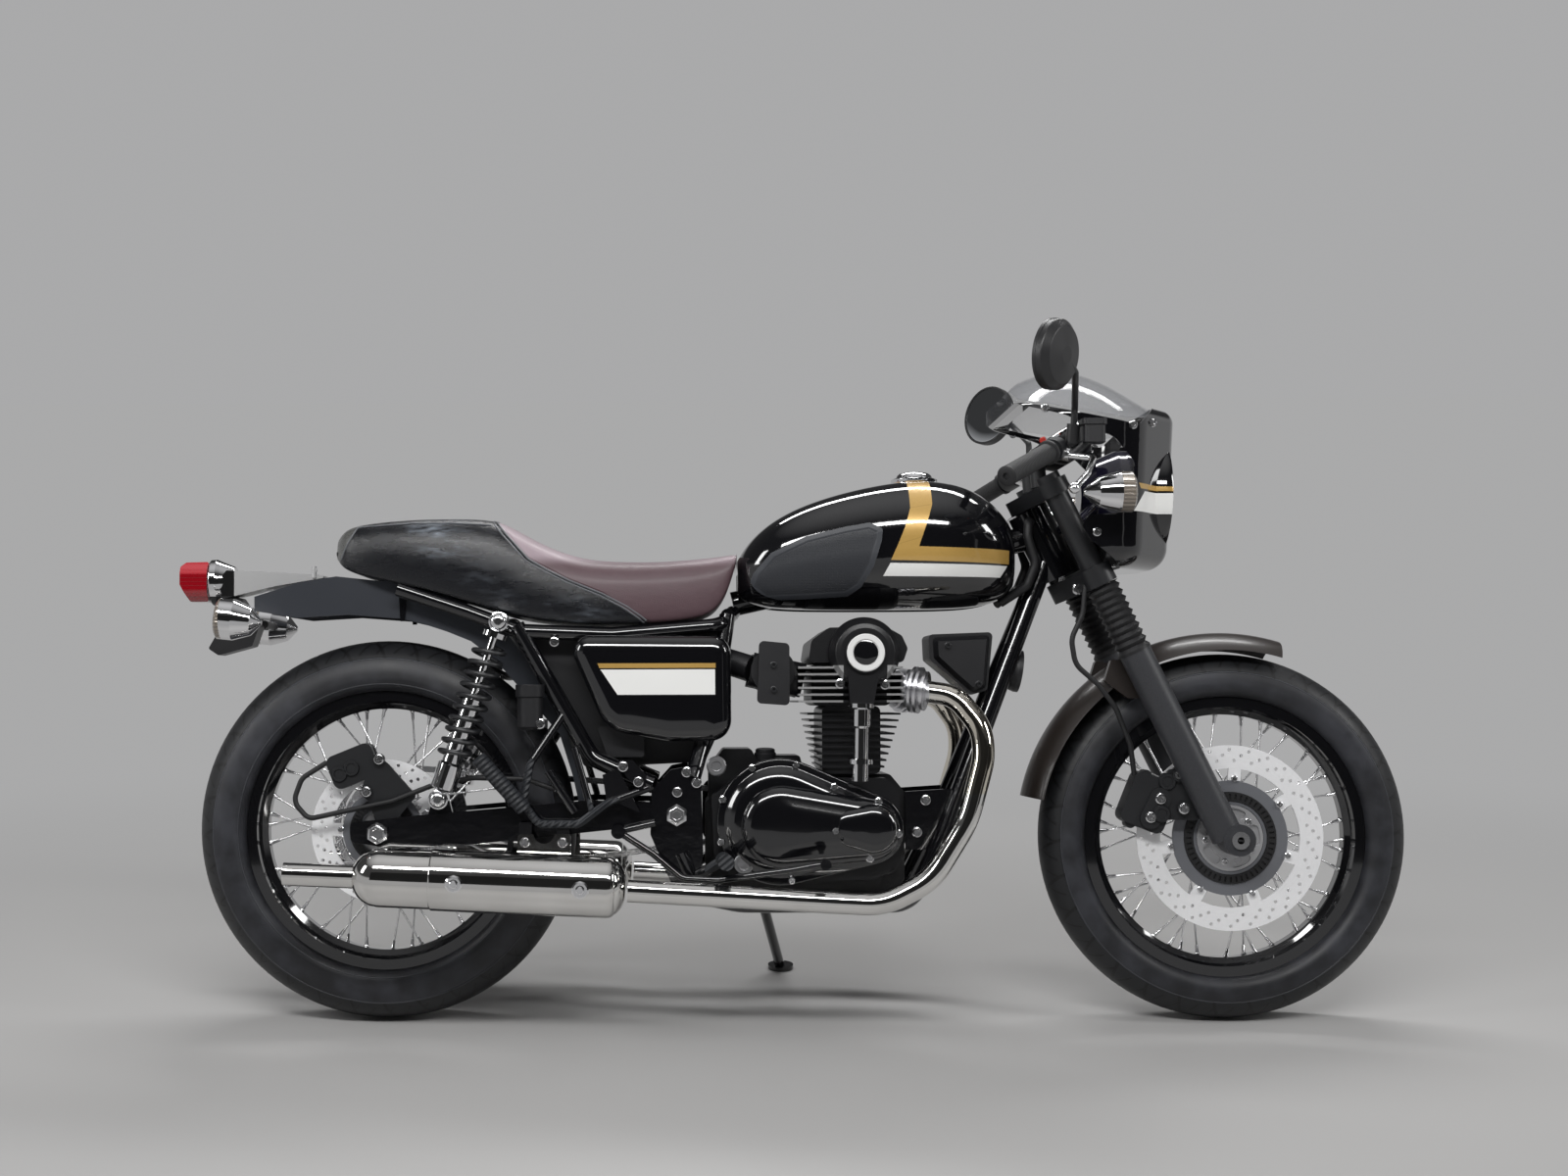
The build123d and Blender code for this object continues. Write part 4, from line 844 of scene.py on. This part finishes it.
HUMP_SIDE = ((0, 1), (0.35, 0.998), (0.60, 0.985), (0.74, 0.955), (0.85, 0.89), (0.935, 0.77), (0.985, 0.60),
             (1, 0.42), (0.985, 0.24), (0.955, 0.07), (0.92, 0.01), (0.84, 0), (0.5, 0), (0, 0))
RIDER_SIDE = ((0, 0.985), (0.35, 0.99), (0.62, 0.965), (0.80, 0.90), (0.90, 0.80), (0.96, 0.66),
              (0.99, 0.49), (1, 0.32), (0.995, 0.14), (0.975, 0.04), (0.93, 0), (0.84, 0), (0.5, 0), (0, 0))
seat_rings = []
for along, half, bottom, top, square in SEAT_SECTIONS:
    side_line = [((a * square + c * (1 - square)) * half,
                  bottom + (b * square + d * (1 - square)) * (top - bottom))
                 for (a, b), (c, d) in zip(HUMP_SIDE, RIDER_SIDE)]
    ring = side_line + [(-y, z) for y, z in side_line[-2:0:-1]]
    seat_rings.append([(along, y, z) for y, z in ring])
seat_cover = skinned("seat_cover", seat_rings)
seat_mesh = seat_cover.data
bpy.ops.object.mode_set(mode="EDIT")
bpy.ops.mesh.select_all(action="DESELECT")
bpy.ops.mesh.select_mode(type="FACE")
bpy.ops.object.mode_set(mode="OBJECT")
for end in seat_mesh.polygons:
    end.select = len(end.vertices) == len(seat_rings[0])
bpy.ops.object.mode_set(mode="EDIT")
bpy.ops.mesh.inset(thickness=0.006)
bpy.ops.mesh.inset(thickness=0.012)
bpy.ops.object.mode_set(mode="OBJECT")
rounding = seat_cover.modifiers.new("rounding", "SUBSURF")
rounding.levels = rounding.render_levels = 3
bpy.ops.object.modifier_apply(modifier="rounding")
bpy.ops.object.shade_smooth()

vinyl = Finish("seat_vinyl_sewn", coat_weight=0.10, coat_roughness=0.2)
seat_x, seat_y, seat_z = vinyl.axes()
rider_depth = vinyl.within([(198, 900), (640, 900), (640, 639), (384, 742), (327, 765), (257, 802),
                            (198, 872)])
lower_depth = vinyl.within([(384, 900), (640, 900), (640, 600), (457, 696), (384, 742)])
to_seam = rider_depth.either(lower_depth)
rider = to_seam.steps(-EDGE, EDGE)
rear_panel = vinyl.within([(-100, 780), (-100, 880), (-40, 880), (-42, 862), (-89, 780)]).steps(-EDGE, EDGE)
grain = vinyl.node("TexVoronoi", inputs={"Vector": vinyl.place(), "Scale": 900.0}, out="Distance")
cloud = vinyl.noise(9.0, 6.0, (1.0, 1.0, 2.6))
fine = vinyl.noise(90.0, 8.0, (0.35, 1.0, 1.5))
streaks = vinyl.noise(34.0, 8.0, (0.45, 1.0, 1.5)).steps(0.34, 0.68)
# Where the black is painted pale, partly rubbed wear and partly a painted highlight: over the hump,
# along the lower flank and a little between them
low_flank = 1.0 - abs(seat_z + seat_x * 0.22 - 0.785).steps(0.0, 0.045)
low_flank = low_flank * seat_x.steps(0.10, 0.26) * (1.0 - seat_x.steps(0.34, 0.46))
hump = 1.0 - ((seat_x - 0.100) * 0.38).far(seat_z - 0.838).steps(0.0, 0.052)
middle = 1.0 - ((seat_x - 0.175) * 0.45).far(seat_z - 0.785).steps(0.0, 0.045)
worn_and_highlight = hump * 1.5 + low_flank * 0.75 + middle * 0.35
scuff_and_highlight = worn_and_highlight * (streaks * 0.45 + fine.steps(0.38, 0.66) * 0.55) * cloud.steps(0.30, 0.62)
scuff_and_highlight = scuff_and_highlight * scuff_and_highlight
# The pale bluish colour is partly rubbed wear and partly a painted highlight on the black vinyl
black_vinyl = vinyl.mix(scuff_and_highlight, (0.0025, 0.003, 0.005), (0.36, 0.41, 0.48))
mauve = vinyl.mix(fine, (0.066, 0.034, 0.041), (0.092, 0.050, 0.059))
# Painted highlight: the mauve turns pale along its top edge, where the lamps fall on it
crown = seat_z.steps(0.788, 0.812) * abs(seat_y).steps(0.02, 0.08)
mauve = vinyl.mix(crown * 0.8, mauve, (0.36, 0.29, 0.32))
with_rider = vinyl.mix(rider, black_vinyl, mauve)
vinyl.set(base_color=vinyl.mix(rear_panel, with_rider, (0.085, 0.086, 0.082)))
vinyl.set(roughness=fine * 0.20 + rider * 0.18 + scuff_and_highlight * 0.15 + 0.18)
stitch_line = 1.0 - abs(to_seam).steps(0.001, 0.004)
crease = vinyl.noise(14.0, 3.0, (1.0, 1.0, 2.0))
vinyl.bump(grain * 0.12 + crease * 0.5 - stitch_line * 0.8, 0.0035, 0.6)
fit(seat_cover, "seat_cover", vinyl, "frame")
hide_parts("seat")
surfaces["seat_cover"] = probe(seat_mesh)


def between(corners, step=8.0):
    """Points along a line drawn through these corners, a few millimetres apart."""
    line = []
    for start, end in zip(corners, corners[1:]):
        run = math.dist(start, end)
        count = max(1, round(run / step))
        line += [tuple(a + (b - a) * n / count for a, b in zip(start, end)) for n in range(count)]
    return line + [corners[-1]]


def piping(name, lines, finish, radius=1.7):
    """Covered cords sewn into the seams, each lying along its line on the seat."""
    curve = bpy.data.curves.new(name, "CURVE")
    curve.dimensions = "3D"
    curve.bevel_depth = radius / 1000
    curve.bevel_resolution = 2
    curve.use_fill_caps = True
    for line in lines:
        spline = curve.splines.new("NURBS")
        spline.points.add(len(line) - 1)
        for point, place in zip(spline.points, line):
            point.co = (*place, 1)
        spline.order_u = 3
        spline.use_endpoint_u = True
    cords = bpy.data.objects.new(name, curve)
    scene.collection.objects.link(cords)
    clear()
    cords.select_set(True)
    bpy.context.view_layer.objects.active = cords
    bpy.ops.object.convert(target="MESH")
    cords = bpy.context.object
    bpy.ops.object.shade_smooth()
    return fit(cords, name, finish, "frame")


def on_seat(corners, side):
    """Points on one flank of the seat, along a line drawn through these corners."""
    return [sit("seat_cover", x, z, side).to_translation() for x, z in between(corners)]


def over_seat(x, half):
    """Points across the top of the seat at one place along it, from the right to the left."""
    points = []
    for n in range(-8, 9):
        start = stand @ Vector((x / 1000, half * n / 8000, 1.2))
        met = surfaces["seat_cover"].ray_cast(start, stand.to_3x3() @ Vector((0, 0, -1)))[0]
        points.append(stand.inverted() @ met)
    return points


SEAM = [(200, 868), (214, 850), (257, 802), (290, 783), (327, 765), (384, 742), (426, 720), (452, 702),
        (459, 696)]
piping_lines = []
for gap in (0, 5.5):
    flank = [(x - gap * 0.75, z - gap * 0.6) for x, z in SEAM]
    across = over_seat(199 - gap, 84)[1:-1]
    piping_lines.append(on_seat(flank, -1)[::-1] + across + on_seat(flank, 1))
for side in (-1, 1):
    piping_lines.append(on_seat([(-44, 861), (0, 863), (52, 866), (120, 866), (192, 862)], side))
    piping_lines.append(on_seat([(-43, 861), (-54, 841), (-65, 821), (-72, 806)], side))
piping_vinyl = painted("piping_vinyl", (0.115, 0.120, 0.130), 0.34)
piping("seat_piping", piping_lines, piping_vinyl)

# Screen, lamps and instruments
# A clear moulded screen on chromed screws, a glass headlight in its bowl, chromed indicators with
# ribbed lenses and two dials for the rider.
screen = Finish("screen_plastic", (0.30, 0.31, 0.33), roughness=0.03, coat_weight=1.0)
# Painted sheen: where the screen is seen edge-on it turns a more opaque grey, in place of its reflection
edge_on = screen.node("LayerWeight", inputs={"Blend": 0.35}, out="Facing")
screen.set(alpha=edge_on * 0.35 + 0.07)
dress(screen, "windscreen")
for side, way in SIDES:
    screws(side + "_fairing_screws", 6.0, "steering", [
        sit("fairing", x, z, way) for x, z in ((1135, 1050), (1284, 1022), (1325, 1030), (1222, 841))])
lens_glass = Finish("lens_glass", (0.75, 0.78, 0.82), roughness=0.03, metallic=0.55, coat_weight=1.0)
_, lens_y, _ = lens_glass.axes()
lens_glass.bump(lens_y.waves(0.009), 0.0006)
lamp_place = facing((1345, 0, 912), (1, 0, -0.03))
lens = turn_up([(0, 80), (4, 79), (10, 66), (14, 46), (16, 20)], sides=48, smooth=60)
fit(lens, "headlight_lens", lens_glass, "steering", lamp_place)
lens_ring = turn_up([(-12, 88.5), (4, 88.5), (8, 85), (8, 80), (2, 78)], sides=64)
fit(lens_ring, "headlight_ring", chrome, "steering", lamp_place)


def indicator_metal(name, lens_from, forward):
    """Chromed shell with a smoked ribbed lens at its open end and a rubber boot at its stalk."""
    finish = Finish(name)
    x, y, z = finish.axes()
    at_lens = (x > lens_from) if forward else (x < lens_from)
    boot = abs(y) < 0.118
    shell = finish.mix(at_lens, (0.78, 0.78, 0.79), (0.20, 0.17, 0.14))
    finish.set(base_color=finish.mix(boot, shell, (0.015, 0.015, 0.016)))
    finish.set(metallic=(1.0 - at_lens * 0.8) * (1.0 - boot), roughness=boot * 0.4 + 0.07)
    finish.set(coat_weight=at_lens)
    return finish.bump(z.waves(0.006) * at_lens, 0.0006)


dress(indicator_metal("front_indicator_metal", 1.250, True), "front_indicators")
dress(indicator_metal("rear_indicator_metal", -0.262, False), "rear_indicators")
lens_red = Finish("lens_red", (0.42, 0.006, 0.012), roughness=0.10, coat_weight=1.0)
_, red_y, red_z = lens_red.axes()
lens_red.set(base_color=lens_red.mix(red_z > 0.783, (0.24, 0.003, 0.008), (0.40, 0.02, 0.03)))
lens_red.bump(red_y.waves(0.007) + red_z.waves(0.007), 0.0004, 0.4)
dress(lens_red, "tail_lens")
tail_metal = Finish("tail_metal")
tail_x, _, tail_z = tail_metal.axes()
plate_arm = (tail_z < 0.744) * (tail_x > -0.325) * (tail_x < -0.205)
arm = (tail_x > -0.270) * (1.0 - plate_arm)
tail_bright = tail_metal.mix(arm, (0.78, 0.78, 0.79), (0.50, 0.50, 0.50))
tail_metal.set(base_color=tail_metal.mix(plate_arm, tail_bright, (0.012, 0.012, 0.013)))
tail_metal.set(metallic=1.0 - plate_arm - arm * 0.55, roughness=arm * 0.30 + plate_arm * 0.35 + 0.06)
dress(tail_metal, "tail_light")
dial_face = Finish("dial_face", (0.010, 0.010, 0.011), roughness=0.25, coat_weight=1.0)
needle_white = Finish("needle_white", (0.75, 0.75, 0.72), roughness=0.4)
for side, way in SIDES:
    dial_place = facing((1185, way * 52, 1024), (-0.5, 0, 0.86))
    bezel = turn_up([(-3, 45), (1.5, 45), (3, 43), (3, 39), (0.5, 38)], sides=48)
    fit(bezel, side + "_dial_bezel", chrome, "steering", dial_place)
    dial = turn_up([(-2, 38.5), (0.3, 38.5), (0.6, 37), (0.7, 8)], sides=48)
    fit(dial, side + "_dial_face", dial_face, "steering", dial_place)
    mark = turn_up([(0, 0.9), (0.9, 0.9), (1.0, 0.7)], sides=6)
    # 25 marks round the edge, the needle's boss and the needle as a row of marks
    spots = [(0.033, math.radians(-135 + count * 270 / 24), 0.0002) for count in range(25)]
    spots += [(0.0012 * n, 2.6, 0.0006) for n in range(22)]
    marks = [Matrix.Translation((out * math.cos(turn), out * math.sin(turn), up)) for out, turn, up in spots]
    marks.insert(25, Matrix.Diagonal((3.0, 3.0, 2.6, 1.0)))
    fit_each(mark, side + "_dial_marks", needle_white, "steering",
             [dial_place @ spot for spot in marks])

# Mirrors, grips and levers
# Black round mirrors on bent stalks, rubber grips with a closed ribbed end and polished levers.
mirror_black = painted("mirror_black", (0.014, 0.014, 0.015), 0.40, grain=(0.0008, 0.00006))
dress(mirror_black, "mirrors")
mirror_glass = Finish("mirror_glass", (0.62, 0.64, 0.66), metallic=1.0)
mirror_glass.set(roughness=mirror_glass.noise(20.0) * 0.02 + 0.01)
for side, way in SIDES:
    glass_place = facing((1114, way * 348, 1111), (-0.75, -way * 0.62, 0.15))
    glass = turn_up([(-2, 53), (0.6, 53), (0.9, 51.5), (1.0, 20)], sides=48)
    fit(glass, side + "_mirror_glass", mirror_glass, "steering", glass_place)
    surround = turn_up([(-4, 57.5), (1.4, 57.5), (2.0, 56.5), (2.0, 53.8), (0.4, 53.2)], sides=48)
    fit(surround, side + "_mirror_rim", mirror_black, "steering", glass_place)
    grip_way = Vector((1043 - 1131, way * (350 - 235), 916 - 968)).normalized()
    grip_end = turn_up([(-6, 15.5), (1, 16.8), (4, 16.8), (5.5, 15), (5.5, 6), (2, 5.2)], sides=32)
    grip_foot = Vector((1043, way * 350, 916))
    fit(grip_end, side + "_grip_end", soft_rubber, "steering", facing(grip_foot, grip_way))
    collar = turn_up([(-3, 18.5), (-2, 20.5), (3, 20.5), (4, 18.5)], sides=32)
    fit(collar, side + "_grip_collar", soft_rubber, "steering",
        facing(Vector((1131, way * 235, 968)) + grip_way * 6, grip_way))
grip_finish = Finish("grip_rubber", (0.013, 0.013, 0.014), roughness=0.6)
_, grip_y, _ = grip_finish.axes()
knurl = abs(grip_y).waves(0.0035)
grip_finish.bump(knurl + grip_finish.noise(500.0) * 0.4, 0.0003)
dress(grip_finish, "handgrips")
lever_alloy = polished("lever_alloy", (0.80, 0.80, 0.81), 0.20, 0.0006)
dress(lever_alloy, "hand_levers")
peg_rubber = Finish("peg_rubber", roughness=0.5)
peg_x, peg_y, peg_z = peg_rubber.axes()
on_peg = abs(peg_y) > 0.150
peg_rib = (peg_x * 0.62 - peg_z * 0.78).waves(0.0085) * on_peg
peg_rubber.set(base_color=peg_rubber.mix(on_peg, (0.006, 0.006, 0.007), (0.016, 0.018, 0.022)))
peg_rubber.set(roughness=on_peg * 0.35 + peg_rubber.noise(12.0) * 0.1 + 0.12)
peg_rubber.bump(peg_rib, 0.0012)
dress(peg_rubber, "footpegs")
switch = turn_up([(0, 7), (3, 7), (6, 6), (7, 4)], sides=4, smooth=20)
switch_red = painted("switch_red", (0.45, 0.03, 0.02), 0.35)
fit(switch, "stop_switch", switch_red, "steering", facing((1124, -214, 988), (-0.4, -0.2, 0.9)))
